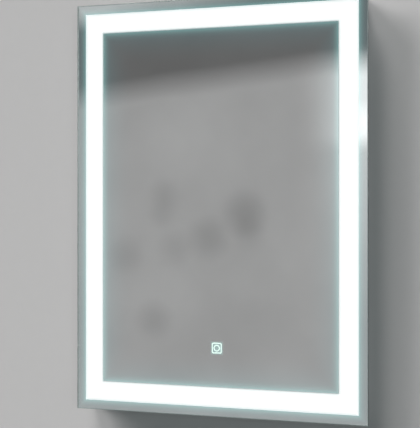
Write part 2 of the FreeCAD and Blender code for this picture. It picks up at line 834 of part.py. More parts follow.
def make_driver():
    base = new_body("driver_base")
    whole = "(driver_length + 2 * driver_lug)"
    lugs = rounded("driver_x", "driver_z", whole, "driver_lug", "driver_corner")
    add_plate(base, PANEL_FRONT, "driver_lug_thickness", [lugs])
    shell = rounded("driver_x", "driver_z", "driver_length", "driver_width", "driver_corner")
    add_plate(base, PANEL_FRONT, "driver_height", [shell])
    front = f"({PANEL_FRONT} + driver_height)"
    room_length = "(driver_length - 2 * driver_wall)"
    room_width = "(driver_width - 2 * driver_wall)"
    room = rounded("driver_x", "driver_z", room_length, room_width, "driver_corner - driver_wall")
    cut_plate(base, front, "driver_height - driver_lug_thickness", [room])
    floor = f"({PANEL_FRONT} + driver_lug_thickness)"
    post_x = f"({room_length} / 2 - 2 * board_post_radius)"
    post_z = f"({room_width} / 2 - 2 * board_post_radius)"
    posts = [
        circle(f"driver_x + ({right}) * {post_x}", f"driver_z + ({up}) * {post_z}",
               "board_post_radius")
        for _, right, up in CORNERS
    ]
    add_plate(base, floor, "board_stand", posts)
    cut_plate(base, floor, "driver_lug_thickness",
              [circle(x, z, "screw_radius + thread_gap") for x, z in DRIVER_LUGS])

    lid = new_body("driver_lid")
    add_plate(lid, front, "driver_wall", [shell])

    board_rear = f"({floor} + board_stand)"
    board_front = f"({board_rear} + board_thickness)"
    board = new_body("driver_board")
    sheet_outline = rounded(
        "driver_x", "driver_z", f"({room_length} - 2 * fit_gap)", f"({room_width} - 2 * fit_gap)",
        "driver_corner - driver_wall",
    )
    add_plate(board, board_rear, "board_thickness", [sheet_outline])
    coil = new_body("driver_coil")
    add_plate(coil, board_front, "coil_height", [
        rounded("driver_x", "driver_z", "coil_length", "coil_width", "driver_wall")
    ])
    capacitors = new_body("driver_capacitors")
    add_plate(capacitors, board_front, "capacitor_height", [
        circle(f"driver_x + ({side}) * driver_length / 4", "driver_z", "capacitor_radius")
        for side in (-1, 1)
    ])

    shank = "(panel_thickness + driver_lug_thickness)"
    add_screws(
        "device_screws", DRIVER_LUGS + BLOCK_EARS, f"({PANEL_REAR} - screw_head_height)",
        "screw_head_height", "screw_head_radius", "screw_radius", shank,
    )


# ---------------------------------------------------------------- touch switch


def make_touch_switch():
    """A lit guide behind the symbol, on a sensing board in a cap that is bonded to the glass."""
    board_front = f"({SILVER_REAR} - guide_thickness)"
    board_rear = f"({board_front} - board_thickness)"
    room = "(touch_case_size - 2 * touch_case_wall)"
    board_size = f"({room} - 2 * fit_gap)"
    guide = new_body("touch_light_guide")
    lens = rounded("0", SYMBOL_Z, "guide_size", "guide_size", "symbol_corner")
    add_plate(guide, board_front, "guide_thickness", [lens])
    board = new_body("touch_board")
    add_plate(board, board_rear, "board_thickness", [
        rounded("0", SYMBOL_Z, board_size, board_size, "touch_case_corner - touch_case_wall")
    ])
    pad = new_body("touch_bond_pad")
    opening = "(guide_size + 2 * fit_gap)"
    add_plate(pad, board_front, "guide_thickness", [
        rounded("0", SYMBOL_Z, board_size, board_size, "touch_case_corner - touch_case_wall"),
        rounded("0", SYMBOL_Z, opening, opening, "symbol_corner"),
    ])
    case = new_body("touch_case")
    add_plate(case, f"({SILVER_REAR} - touch_case_depth)", "touch_case_depth", [
        rounded("0", SYMBOL_Z, "touch_case_size", "touch_case_size", "touch_case_corner")
    ])
    cut_plate(case, SILVER_REAR, f"{SILVER_REAR} - {board_rear}", [
        rounded("0", SYMBOL_Z, room, room, "touch_case_corner - touch_case_wall")
    ])
    inner = f"({room} - 2 * touch_case_ledge)"
    below = "(touch_case_depth - guide_thickness - board_thickness - touch_case_wall)"
    cut_plate(case, board_rear, below, [centred("0", SYMBOL_Z, inner, inner)])


# ---------------------------------------------------------------- internal leads

DRIVER_LEFT = "(driver_x - driver_length / 2)"
DRIVER_RIGHT = "(driver_x + driver_length / 2)"
BLOCK_RIGHT = "(block_x + block_length / 2)"
TOUCH_TOP = f"({SYMBOL_Z} + touch_case_size / 2)"
DRIVER_FOOT = "(driver_z - driver_width / 2)"
LAMP_LEAD_END = f"({HALF_WIDTH} - {BAND_MIDDLE} - lamp_width)"
VOLUME_TOLERANCE = 0.01


def lead_path(points, bend):
    """Straight runs joined by arcs that touch both of their runs."""
    edges = []
    start = points[0]
    for before, corner, after in zip(points, points[1:], points[2:]):
        incoming, outgoing = corner - before, after - corner
        turn = incoming.getAngle(outgoing)
        set_back = bend * math.tan(turn / 2)
        unit_in, unit_out = Vector(incoming).normalize(), Vector(outgoing).normalize()
        arc_start, arc_end = corner - unit_in * set_back, corner + unit_out * set_back
        to_middle = (unit_out - unit_in).normalize()
        middle = corner + to_middle * (bend / math.cos(turn / 2) - bend)
        edges.append(Part.LineSegment(start, arc_start).toShape())
        edges.append(Part.Arc(arc_start, middle, arc_end).toShape())
        start = arc_end
    edges.append(Part.LineSegment(start, points[-1]).toShape())
    return Part.Wire(edges)


def make_lead(label, places):
    """A round lead along (x, depth, z) places from the mirror's middle."""
    points = [Vector(number(x), -number(depth), number(z)) for x, depth, z in places]
    path = lead_path(points, number("lead_bend"))
    radius = number("lead_radius")
    end = Part.Circle(points[0], points[1] - points[0], radius)
    tube = path.makePipeShell([Part.Wire(end.toShape())], True, False)
    expected = math.pi * radius**2 * path.Length
    if abs(tube.Volume / expected - 1) > VOLUME_TOLERANCE:
        raise RuntimeError(f"{label}: volume {tube.Volume:.1f}, expected {expected:.1f}")
    print(f"{label}: length {path.Length:.1f}")
    lead = doc.addObject("Part::Feature", label)
    lead.Label = label
    lead.Shape = tube
    lead.Placement = Placement(Vector(0, 0, -number(HANG_DROP)), Rotation())
    pieces.append(lead)


CLIPS = [
    ("(driver_x - lead_offset)", f"({DRIVER_FOOT} - clip_reach)"),
    ("0", f"({TOUCH_TOP} + 2 * clip_reach)"),
]


def make_leads():
    """The leads run straight through their clips and bend between them."""
    slack = f"(({BLOCK_RIGHT} + {DRIVER_LEFT}) / 2)"
    make_lead("mains_lead", [
        (BLOCK_RIGHT, MAINS_LEAD_DEPTH, "driver_z"),
        (f"{slack} - slack_reach", MAINS_LEAD_DEPTH, "driver_z"),
        (slack, MAINS_LEAD_DEPTH, "driver_z - lead_slack"),
        (f"{slack} + slack_reach", MAINS_LEAD_DEPTH, "driver_z"),
        (DRIVER_LEFT, MAINS_LEAD_DEPTH, "driver_z"),
    ])
    make_lead("lamp_lead", [
        (DRIVER_RIGHT, LAMP_LEAD_DEPTH, "driver_z"),
        (LAMP_LEAD_END, LAMP_LEAD_DEPTH, "driver_z"),
    ])
    (upper_x, upper_z), (lower_x, lower_z) = CLIPS
    make_lead("touch_lead", [
        (upper_x, LEAD_DEPTH, DRIVER_FOOT),
        (upper_x, LEAD_DEPTH, f"{upper_z} - clip_run"),
        (lower_x, LEAD_DEPTH, f"{lower_z} + clip_run"),
        (lower_x, LEAD_DEPTH, f"{lower_z} - clip_run"),
        (lower_x, TOUCH_LEAD_DEPTH, f"{TOUCH_TOP} + lead_entry"),
        (lower_x, TOUCH_LEAD_DEPTH, TOUCH_TOP),
    ])


def make_lead_clips():
    """Saddles stuck to the panel, open to the front, that hold the touch switch's lead."""
    body = new_body("lead_clips")
    inner = "(2 * lead_radius + fit_gap)"
    outer = f"({inner} + 2 * clip_wall)"
    bases = [centred(x, z, outer, "clip_length") for x, z in CLIPS]
    add_plate(body, PANEL_FRONT, "clip_base", bases)
    walls = [
        centred(f"{x} + ({side}) * ({inner} + clip_wall) / 2", z, "clip_wall", "clip_length")
        for x, z in CLIPS for side in (-1, 1)
    ]
    add_plate(body, CLIP_FLOOR, "clip_height", walls)


# ---------------------------------------------------------------- build, check and write

make_glass()
make_silvering()
make_frame()
make_corner_keys()
make_bonds()
make_diffusers()
make_lamp_strips()
make_strip_links()
make_back_panel()
make_wall_rail()
make_hanger()
make_spacers()
make_grommet()
make_terminal_block()
make_driver()
make_touch_switch()
make_leads()
make_lead_clips()

doc.recompute()
for item in doc.Objects:
    if "Invalid" in item.State or "Error" in item.State:
        raise RuntimeError(f"{item.Label} ({item.TypeId}) failed: {item.State}")
for piece in pieces:
    if piece.Shape.isNull() or not piece.Shape.isValid():
        raise RuntimeError(f"{piece.Label} has no valid shape")

os.makedirs("parts", exist_ok=True)
for piece in pieces:
    piece.Shape.exportStep(f"parts/{piece.Label}.step")
print(f"{len(pieces)} sub-parts written")
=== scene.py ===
"""Finishes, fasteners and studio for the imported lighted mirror.

The file is laid out as an add-on and is run as a script. Lengths are metres in the frame's own
axes: +X to the right, +Z up, the mirror faces -Y and hangs on the wall, which is the plane y = 0.
"""

import math

import bmesh
import bpy
from bpy.props import FloatProperty, FloatVectorProperty, PointerProperty
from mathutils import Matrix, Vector


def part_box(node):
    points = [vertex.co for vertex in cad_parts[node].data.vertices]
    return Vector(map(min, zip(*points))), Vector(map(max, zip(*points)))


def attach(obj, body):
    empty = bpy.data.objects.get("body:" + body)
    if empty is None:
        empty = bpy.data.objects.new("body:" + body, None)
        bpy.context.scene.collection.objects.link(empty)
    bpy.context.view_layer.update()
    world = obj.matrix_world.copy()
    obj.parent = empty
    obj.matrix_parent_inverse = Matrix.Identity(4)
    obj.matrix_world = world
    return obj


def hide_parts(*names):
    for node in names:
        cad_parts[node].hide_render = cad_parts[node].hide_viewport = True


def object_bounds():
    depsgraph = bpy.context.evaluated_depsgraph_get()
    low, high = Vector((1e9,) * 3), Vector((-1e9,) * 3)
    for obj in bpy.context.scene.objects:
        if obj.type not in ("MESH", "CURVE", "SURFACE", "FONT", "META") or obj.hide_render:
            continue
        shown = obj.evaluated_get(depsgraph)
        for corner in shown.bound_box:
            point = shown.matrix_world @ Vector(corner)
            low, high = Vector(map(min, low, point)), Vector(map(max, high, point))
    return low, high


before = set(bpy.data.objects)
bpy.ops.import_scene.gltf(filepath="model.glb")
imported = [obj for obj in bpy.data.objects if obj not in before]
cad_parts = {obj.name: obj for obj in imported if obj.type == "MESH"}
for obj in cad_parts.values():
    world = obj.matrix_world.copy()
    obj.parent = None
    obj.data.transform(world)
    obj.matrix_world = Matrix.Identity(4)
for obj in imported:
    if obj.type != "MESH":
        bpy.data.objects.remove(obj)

bl_info = {
    "name": "Lighted mirror",
    "version": (1, 0, 0),
    "blender": (4, 5, 0),
    "location": "3D View > Sidebar > Mirror",
    "description": "Finishes the packed lighted mirror and sets it in a plain studio",
    "category": "Object",
}

MILLIMETRE = 0.001
CAD_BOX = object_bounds()
GLASS_LOW, GLASS_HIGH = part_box("mirror_glass")
SYMBOL_LOW, SYMBOL_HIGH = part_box("touch_light_guide")
FIELD_INSET = GLASS_HIGH.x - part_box("silver_field")[1].x
MIDDLE = (GLASS_LOW + GLASS_HIGH) / 2
MIRROR_BODY = "mirror"


# ---------- sizes and colours


def length(name, description, millimetres):
    return FloatProperty(
        name=name, description=description, default=millimetres * MILLIMETRE, unit="LENGTH"
    )


def colour(name, description, red, green, blue):
    return FloatVectorProperty(
        name=name, description=description, default=(red, green, blue), subtype="COLOR",
        soft_min=0.0, soft_max=1.0,
    )


def number(name, description, default, unit="NONE"):
    return FloatProperty(name=name, description=description, default=default, min=0.0, unit=unit)


def angle(name, description, degrees):
    return FloatProperty(
        name=name, description=description, default=math.radians(degrees), subtype="ANGLE"
    )


class MirrorSizes(bpy.types.PropertyGroup):
    """Sizes of the details that the finishes add to the frame."""

    rim: length("Rim", "Width of the mirrored border outside the lit band", 18.0)
    arris: length("Arris", "Width of the ground edge round the glass", 0.8)
    corner: length("Corner", "Radius at the glass's four corners", 1.0)
    air_film: length("Air film", "Space between the glass and its silvering", 0.05)
    # The glow and wash reaches spread painted light, emitted by the silvering, out from the band.
    glow_reach: length("Glow reach", "How far light creeps past the band in the glass", 24.0)
    wash_reach: length("Wash reach", "How far the faintest light creeps past the band", 70.0)
    fade: length("Band fade", "Width over which the band cools at its edges", 7.0)
    inner_fade: length("Inner fade", "Width over which the band dims at its inner edge", 2.4)
    symbol: length("Symbol", "Width of the touch symbol", 20.5)
    # Painted light: how far the silvering glows round the touch symbol.
    symbol_glow: length("Symbol glow", "How far light creeps past the touch symbol", 3.5)
    recess_arm: length("Recess arm", "Half length of a screw's cross recess", 2.1)
    recess_width: length("Recess width", "Half width of a screw's cross recess", 0.5)
    recess_depth: length("Recess depth", "Depth of a screw's cross recess", 1.0)
    rounding: length("Rounding", "Radius on moulded rubber edges", 0.8)


class MirrorColours(bpy.types.PropertyGroup):
    """Colours of the mirror's own finishes, of its lights, and of the light painted on its glass
    and silvering.
    """

    glass: colour("Glass", "Clear float glass seen square on", 0.975, 1.0, 0.99)
    ground_edge: colour("Ground edge", "Greenish ground edge of the glass", 0.56, 0.66, 0.63)
    # The edge glow is painted light: emission from the glass's ground edge.
    edge_glow: colour("Edge glow", "Light that leaves the glass at its edge", 0.015, 0.022, 0.021)
    silver: colour("Silver", "Silvering seen through the glass", 0.90, 0.92, 0.93)
    paint: colour("Backing paint", "Paint on the back of the silvering", 0.17, 0.21, 0.20)
    band: colour("Band light", "Light from the middle of the band", 0.86, 0.83, 0.84)
    band_edge: colour("Band edge light", "Light from the edges of the band", 0.62, 0.70, 0.71)
    # Glow and wash are painted light: the silvering emits them beside the band.
    glow: colour("Glow", "Light that creeps past the band in the glass", 0.070, 0.185, 0.175)
    wash: colour("Wash", "Faint light well past the band", 0.006, 0.045, 0.052)
    symbol: colour("Symbol light", "Light from the touch symbol", 0.74, 0.95, 0.88)
    opal: colour("Opal", "Opal panels behind the band", 0.88, 0.90, 0.90)
    guide: colour("Light guide", "Light guide behind the symbol", 0.84, 0.90, 0.88)
    aluminium: colour("Aluminium", "Matt anodised aluminium", 0.40, 0.405, 0.41)
    rail: colour("Rail", "Plain aluminium of the rails", 0.74, 0.75, 0.76)
    galvanised: colour("Galvanised sheet", "Zinc-coated steel sheet", 0.66, 0.68, 0.69)
    zinc: colour("Zinc", "Yellow-passivated zinc plate on the screws", 0.62, 0.53, 0.34)
    rubber: colour("Rubber", "Moulded rubber", 0.035, 0.036, 0.038)


class StudioSettings(bpy.types.PropertyGroup):
    """Where the camera stands and how the studio is lit."""

    eye_x: length("Eye, right", "Camera's distance to the right of the mirror's middle", 1037.5)
    eye_y: length("Eye, front", "Camera's distance from the wall", 2509.0)
    yaw: angle("Yaw", "Turn of the camera to the left", 23.06)
    lens: number("Lens", "Focal length for a picture 36 mm wide", 118.1, "CAMERA")
    shift: FloatVectorProperty(
        name="Shift", description="Shift to the right and upward", default=(0.0010, -0.0158), size=2
    )
    wall: colour("Wall", "Painted wall", 0.52, 0.52, 0.52)
    wall_gap: length("Wall gap", "Space that keeps the wall clear of the faces that touch it", 0.2)
    floor: colour("Floor", "Pale floor", 0.18, 0.18, 0.177)
    floor_drop: length("Floor drop", "Height of the lower edge above the floor", 800.0)
    surround: colour("Surround", "Pale surround behind the object", 0.72, 0.72, 0.73)
    ambient: number("Ambient", "Strength of the light from all round", 0.06)
    key: number("Key", "Strength of the wide soft light from the left", 7.1)
    key_spread: angle("Key spread", "How wide the light from the left is", 36.0)
    overhead: number("Overhead", "Strength of the wide soft light from above", 4.95)
    overhead_spread: angle("Overhead spread", "How wide the light from above is", 24.0)
    fill: number("Fill", "Strength of the wide soft light from the front", 0.66)
    fill_spread: angle("Fill spread", "How wide the light from the front is", 40.0)
    lamp_tone: colour("Lamp tone", "Light from the left and from above", 1.0, 0.96, 0.955)
    fill_tone: colour("Fill tone", "Light from the front and from all round", 0.89, 0.995, 1.0)
    back_power: number("Back power", "Power of the stronger lamp behind the wall", 60.0, "POWER")
    # The reflected room's card carries painted light and shade, seen only in the mirror.
    reflected: colour("Reflected room", "What the mirror reflects", 0.374, 0.352, 0.354)


def sizes():
    return bpy.context.scene.mirror_sizes


def colours():
    return bpy.context.scene.mirror_colours


def studio():
    return bpy.context.scene.studio_settings


# ---------- nodes

# Places of the sockets that a Mix node uses for colours.
MIX_AMOUNT, MIX_FIRST, MIX_SECOND, MIX_RESULT = 0, 6, 7, 2


class Graph:
    """Adds nodes to one tree. A value given for a socket is set, and a socket is linked."""

    def __init__(self, tree):
        self.tree = tree
        self.position = None
        tree.nodes.clear()

    def feed(self, socket, value):
        if isinstance(value, bpy.types.NodeSocket):
            self.tree.links.new(value, socket)
        elif socket.type == "RGBA" and len(value) == 3:
            socket.default_value = (*value, 1.0)
        else:
            socket.default_value = value

    def node(self, kind, settings=None, *values, **sockets):
        """A node. Values feed its first sockets in order, and the rest go by name."""
        made = self.tree.nodes.new("ShaderNode" + kind)
        for name, value in (settings or {}).items():
            setattr(made, name, value)
        for socket, value in zip(made.inputs, values):
            self.feed(socket, value)
        for name, value in sockets.items():
            self.feed(made.inputs[name.replace("_", " ")], value)
        return made

    def math(self, operation, *values):
        return self.node("Math", {"operation": operation}, *values).outputs[0]

    def plus(self, first, second):
        return self.math("ADD", first, second)

    def minus(self, first, second):
        return self.math("SUBTRACT", first, second)

    def times(self, first, second):
        return self.math("MULTIPLY", first, second)

    def vector(self, operation, *values, result="Vector"):
        return self.node("VectorMath", {"operation": operation}, *values).outputs[result]

    def ramp(self, value, start, end, low=0.0, high=1.0):
        """A value carried from one range to another, held at the ends."""
        return self.node(
            "MapRange", Value=value, From_Min=start, From_Max=end, To_Min=low, To_Max=high
        ).outputs[0]

    def blend(self, kind, amount, first, second):
        made = self.node("Mix", {"data_type": "RGBA", "blend_type": kind})
        self.feed(made.inputs[MIX_AMOUNT], amount)
        self.feed(made.inputs[MIX_FIRST], first)
        self.feed(made.inputs[MIX_SECOND], second)
        return made.outputs[MIX_RESULT]

    def mix(self, amount, first, second):
        return self.blend("MIX", amount, first, second)

    def tint(self, tone, factor):
        """A colour made lighter or darker by a value, or multiplied by another colour."""
        return self.blend("MULTIPLY", 1.0, tone, factor)

    def add(self, first, second):
        """Two colours added."""
        return self.blend("ADD", 1.0, first, second)

    def axes(self, vector):
        """The three parts of a vector, named X, Y and Z."""
        return self.node("SeparateXYZ", Vector=vector).outputs

    def noise(self, scale, detail=2.0, roughness=0.5, position=None):
        place = position or self.position
        made = self.node("TexNoise", Vector=place, Scale=scale, Detail=detail, Roughness=roughness)
        return made.outputs["Fac"]

    def cells(self, scale, position=None):
        return self.node("TexVoronoi", Vector=position or self.position, Scale=scale).outputs

    def bump(self, height, depth, strength=1.0, **sockets):
        """A normal from heights whose full range is a depth in millimetres."""
        return self.node(
            "Bump", Height=height, Distance=depth * MILLIMETRE, Strength=strength, **sockets
        ).outputs["Normal"]

    def group(self, make, **sockets):
        """A shared effect at the graph's position, built when it is first asked for."""
        found = bpy.data.node_groups.get(make.__name__) or make()
        return self.node("Group", {"node_tree": found}, Position=self.position, **sockets).outputs

    def surface(self, **sockets):
        return self.node("BsdfPrincipled", **sockets).outputs["BSDF"]

    def either(self, amount, first, second):
        """The first shader where the amount is 0, and the second where it is 1."""
        return self.node("MixShader", None, amount, first, second).outputs[0]


def new_group(name, inputs, outputs):
    """A node group of a position and other inputs, with the sockets of its two end nodes."""
    tree = bpy.data.node_groups.new(name, "ShaderNodeTree")
    for way, sockets in (("INPUT", [("Position", "Vector"), *inputs]), ("OUTPUT", outputs)):
        for label, kind in sockets:
            tree.interface.new_socket(name=label, in_out=way, socket_type="NodeSocket" + kind)
    graph = Graph(tree)
    given = tree.nodes.new("NodeGroupInput").outputs
    result = tree.nodes.new("NodeGroupOutput").inputs
    graph.position = given["Position"]
    return tree, graph, given, result


def inset_from_outline():
    """Distance in from the glass's outline, and distance outside the lit band."""
    tree, graph, given, result = new_group(
        "inset_from_outline", [("Rim", "Float")], [("Inset", "Float"), ("Beyond Band", "Float")]
    )
    offset = graph.axes(graph.vector("SUBTRACT", graph.position, MIDDLE[:]))
    half = (GLASS_HIGH - GLASS_LOW) / 2
    across = graph.minus(half.x, graph.math("ABSOLUTE", offset["X"]))
    upward = graph.minus(half.z, graph.math("ABSOLUTE", offset["Z"]))
    inset = graph.math("MINIMUM", across, upward)
    graph.feed(result["Inset"], inset)
    outer = graph.minus(given["Rim"], inset)
    inner = graph.minus(inset, FIELD_INSET)
    graph.feed(result["Beyond Band"], graph.math("MAXIMUM", outer, inner))
    return tree


def swing(graph, value, contrast):
    """A shade that swings about 1 with a value that swings about a half."""
    return graph.plus(graph.times(graph.minus(value, 0.5), contrast), 1.0)


def drawn_streaks():
    """Fine lines along one direction, as a die or a roll leaves them."""
    tree, graph, given, result = new_group(
        "drawn_streaks", [("Stretch", "Vector"), ("Contrast", "Float")],
        [("Shade", "Float"), ("Height", "Float")],
    )
    stretched = graph.vector("MULTIPLY", graph.position, given["Stretch"])
    broad = graph.noise(1.0, detail=1.0, position=stretched)
    fine = graph.noise(6.0, detail=3.0, roughness=0.7, position=stretched)
    lines = graph.plus(graph.times(broad, 0.4), graph.times(fine, 0.6))
    graph.feed(result["Shade"], swing(graph, lines, given["Contrast"]))
    graph.feed(result["Height"], lines)
    return tree


def moulded_grain():
    """The fine grain of a moulded or sprayed surface, with slow changes of shade."""
    tree, graph, given, result = new_group(
        "moulded_grain", [("Scale", "Float"), ("Contrast", "Float")],
        [("Shade", "Float"), ("Height", "Float")],
    )
    grain = graph.cells(given["Scale"])
    cloud = graph.noise(35.0, detail=3.0)
    graph.feed(result["Shade"], swing(graph, cloud, given["Contrast"]))
    graph.feed(result["Height"], grain["Distance"])
    return tree


def edge_wear():
    """How near a surface is to a corner of its piece, broken up as handling does."""
    tree, graph, given, result = new_group(
        "edge_wear", [("Radius", "Float")],
        [("Mask", "Float"), ("Normal", "Vector")],
    )
    rounded = graph.node("Bevel", {"samples": 6}, Radius=given["Radius"]).outputs["Normal"]
    flat = graph.node("NewGeometry").outputs["Normal"]
    likeness = graph.vector("DOT_PRODUCT", rounded, flat, result="Value")
    corner = graph.ramp(likeness, 0.99, 0.80)
    broken = graph.ramp(graph.noise(260.0, detail=3.0), 0.35, 0.65)
    graph.feed(result["Mask"], graph.times(corner, broken))
    graph.feed(result["Normal"], rounded)
    return tree


def settled_dust():
    """A thin film of dust, thicker on faces that look up."""
    tree, graph, given, result = new_group(
        "settled_dust", [("Amount", "Float")], [("Mask", "Float")]
    )
    facing = graph.axes(graph.node("NewGeometry").outputs["Normal"])
    upward = graph.ramp(facing["Z"], -0.2, 1.0, low=0.15)
    patches = graph.noise(24.0, detail=4.0, roughness=0.6)
    film = graph.times(upward, graph.ramp(patches, 0.40, 0.70))
    graph.feed(result["Mask"], graph.times(film, given["Amount"]))
    return tree


def finish_named(name, build, **values):
    """A finish made the first time that it is asked for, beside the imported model's own."""
    label = f"{name}_finish"
    if label not in bpy.data.materials:
        material = bpy.data.materials.new(label)
        material.use_nodes = True
        graph = Graph(material.node_tree)
        graph.position = graph.node("TexCoord").outputs["Object"]
        graph.node("OutputMaterial", Surface=build(graph, **values))
    return bpy.data.materials[label]


# ---------- finishes of the mirror

BLACK = (0.0, 0.0, 0.0)
WORN = (0.90, 0.91, 0.92)
STAIN = (0.50, 0.52, 0.54)
METAL_DUST = (0.42, 0.41, 0.39)
PANEL_DUST = (0.40, 0.39, 0.37)
PLASTIC_DUST = (0.36, 0.35, 0.33)

# Ranges that most values keep to: those of a noise, and the heights of moulded grain.
NOISE = (0.3, 0.7)
GRAIN = (0.0, 0.6)

# How far drawn lines are packed together along each axis.
ALONG_X = (3.0, 900.0, 900.0)
ALONG_Z = (900.0, 900.0, 3.0)
ROLLED = (700.0, 700.0, 4.0)


def float_glass(graph):
    """Clear glass with a fine ground edge, which emits painted light as if light that runs in the
    glass came out there.
    """
    inset = graph.group(inset_from_outline, Rim=sizes().rim)["Inset"]
    ground = graph.ramp(inset, sizes().arris * 1.05, sizes().arris * 0.95)
    frosting = graph.ramp(graph.noise(900.0, detail=3.0), *NOISE, 0.16, 0.30)
    smears = graph.noise(9.0, detail=4.0, roughness=0.6)
    wiped = graph.ramp(smears, 0.55, 0.85, 0.0, 0.006)
    height = graph.times(graph.noise(1400.0), ground)
    # The ground edge glows with painted light.
    return graph.surface(
        IOR=1.52, Transmission_Weight=1.0,
        Base_Color=graph.mix(ground, colours().glass, colours().ground_edge),
        Roughness=graph.math("MAXIMUM", wiped, graph.times(ground, frosting)),
        Emission_Color=graph.mix(ground, BLACK, colours().edge_glow),
        Emission_Strength=1.0, Normal=graph.bump(height, 0.05),
    )


def silvering(graph):
    """Silver to the front and backing paint to the wall, with painted light: a glow the silver
    emits where light creeps past the band.
    """
    beyond = graph.group(inset_from_outline, Rim=sizes().rim)["Beyond Band"]
    # Painted light: the silvering emits a glow and a wash that fade away from the band, and a halo
    # round the touch symbol.
    creep = graph.math("POWER", graph.ramp(beyond, sizes().glow_reach, 0.0), 4.0)
    wash = graph.math("POWER", graph.ramp(beyond, sizes().wash_reach, 0.0), 2.0)
    symbol = (SYMBOL_LOW + SYMBOL_HIGH) / 2
    offset = graph.axes(graph.vector("SUBTRACT", graph.position, symbol[:]))
    sideways, upward = graph.math("ABSOLUTE", offset["X"]), graph.math("ABSOLUTE", offset["Z"])
    outside = graph.math("MAXIMUM", sideways, upward)
    full, none = sizes().symbol / 2 - MILLIMETRE, sizes().symbol / 2 + sizes().symbol_glow
    halo = graph.ramp(outside, none, full, high=0.95)
    glow = graph.math("MAXIMUM", creep, halo)
    light = graph.add(graph.tint(colours().glow, glow), graph.tint(colours().wash, wash))
    facing = graph.axes(graph.node("NewGeometry").outputs["True Normal"])
    rear = graph.math("GREATER_THAN", facing["Y"], 0.5)
    grain = graph.group(moulded_grain, Scale=900.0, Contrast=0.35)
    paint = graph.tint(colours().paint, grain["Shade"])
    haze = graph.ramp(graph.noise(14.0, detail=3.0), *NOISE, 0.012, 0.03)
    return graph.surface(
        Metallic=graph.minus(1.0, rear), Emission_Strength=1.0,
        Base_Color=graph.mix(rear, colours().silver, paint),
        Roughness=graph.plus(haze, graph.times(rear, 0.45)),
        Emission_Color=graph.mix(rear, light, BLACK),
        Normal=graph.bump(graph.times(grain["Height"], rear), 0.04),
    )


def lit_opal(graph):
    """Opal sheet lit from behind. It is whitest in the middle and cooler at its edges."""
    places = graph.group(inset_from_outline, Rim=sizes().rim)
    middle = graph.ramp(places["Beyond Band"], 0.0, -sizes().fade)
    inner = graph.ramp(places["Inset"], FIELD_INSET, FIELD_INSET - sizes().inner_fade, low=0.25)
    grain = graph.group(moulded_grain, Scale=1500.0, Contrast=0.05)
    light = graph.tint(graph.mix(middle, colours().band_edge, colours().band), grain["Shade"])
    return graph.surface(
        Base_Color=graph.tint(colours().opal, grain["Shade"]),
        Roughness=graph.ramp(grain["Height"], *GRAIN, 0.42, 0.55),
        Emission_Color=graph.tint(light, inner), Emission_Strength=1.0,
        Normal=graph.bump(grain["Height"], 0.03),
    )


def lit_guide(graph):
    """The touch symbol's light guide, lit from the sensing board."""
    grain = graph.group(moulded_grain, Scale=1500.0, Contrast=0.08)
    return graph.surface(
        Base_Color=graph.tint(colours().guide, grain["Shade"]),
        Roughness=graph.ramp(grain["Height"], *GRAIN, 0.35, 0.5), Emission_Strength=1.0,
        Emission_Color=graph.tint(colours().symbol, grain["Shade"]),
        Normal=graph.bump(grain["Height"], 0.03),
    )


def drawn_metal(graph, tone, stretch, roughness, contrast=0.10):
    """Extruded or rolled metal with die lines, softened corners, wear and a little dust."""
    streaks = graph.group(drawn_streaks, Stretch=stretch, Contrast=contrast)
    wear = graph.group(edge_wear, Radius=0.6 * MILLIMETRE)
    dust = graph.group(settled_dust, Amount=0.12)["Mask"]
    cloud = graph.ramp(graph.noise(18.0, detail=3.0), *NOISE, -0.05, 0.05)
    bare = graph.mix(wear["Mask"], graph.tint(tone, streaks["Shade"]), WORN)
    lines = graph.ramp(streaks["Height"], *NOISE, roughness, roughness + 0.12)
    rough = graph.plus(graph.plus(lines, cloud), graph.times(dust, 0.4))
    return graph.surface(
        Metallic=graph.minus(1.0, graph.times(dust, 0.6)),
        Base_Color=graph.mix(dust, bare, METAL_DUST),
        Roughness=graph.math("MAXIMUM", rough, 0.08),
        Normal=graph.bump(streaks["Height"], 0.03, strength=0.6, Normal=wear["Normal"]),
    )


def spangled_sheet(graph):
    """Galvanised steel sheet: zinc crystals of uneven shade, rolling lines, stains and dust."""
    bent = graph.node("TexNoise", Vector=graph.position, Scale=45.0, Detail=2.0).outputs["Color"]
    reach = (6.0 * MILLIMETRE,) * 3
    warp = graph.vector("MULTIPLY", graph.vector("SUBTRACT", bent, (0.5,) * 3), reach)
    place = graph.vector("ADD", graph.position, warp)
    large, small = (graph.axes(graph.cells(scale, place)["Color"])["X"] for scale in (85.0, 150.0))
    crystal = graph.plus(graph.times(large, 0.65), graph.times(small, 0.35))
    streaks = graph.group(drawn_streaks, Stretch=ROLLED, Contrast=0.10)
    dust = graph.group(settled_dust, Amount=0.5)["Mask"]
    blots = graph.noise(6.0, detail=5.0, roughness=0.6)
    stain = graph.ramp(blots, 0.48, 0.75, 0.0, 0.35)
    tone = graph.tint(colours().galvanised, graph.ramp(crystal, 0.1, 0.9, 0.82, 1.10))
    tone = graph.mix(stain, graph.tint(tone, streaks["Shade"]), STAIN)
    height = graph.plus(crystal, graph.times(streaks["Height"], 0.3))
    return graph.surface(
        Base_Color=graph.mix(dust, tone, PANEL_DUST),
        Metallic=graph.ramp(stain, 0.0, 0.35, 0.92, 0.75),
        Roughness=graph.plus(graph.ramp(crystal, 0.1, 0.9, 0.34, 0.52), dust),
        Normal=graph.bump(height, 0.08),
    )


def plated(graph, tone, roughness):
    """Plated or cast metal: slow changes of shade and fine pits."""
    grain = graph.group(moulded_grain, Scale=2200.0, Contrast=0.22)
    hue = graph.ramp(graph.noise(160.0), 0.35, 0.65)
    passivated = graph.mix(hue, tone, graph.tint(tone, (0.84, 0.87, 0.92)))
    return graph.surface(
        Metallic=1.0, Base_Color=graph.tint(passivated, grain["Shade"]),
        Roughness=graph.ramp(grain["Height"], *GRAIN, roughness, roughness + 0.14),
        Normal=graph.bump(grain["Height"], 0.02),
    )


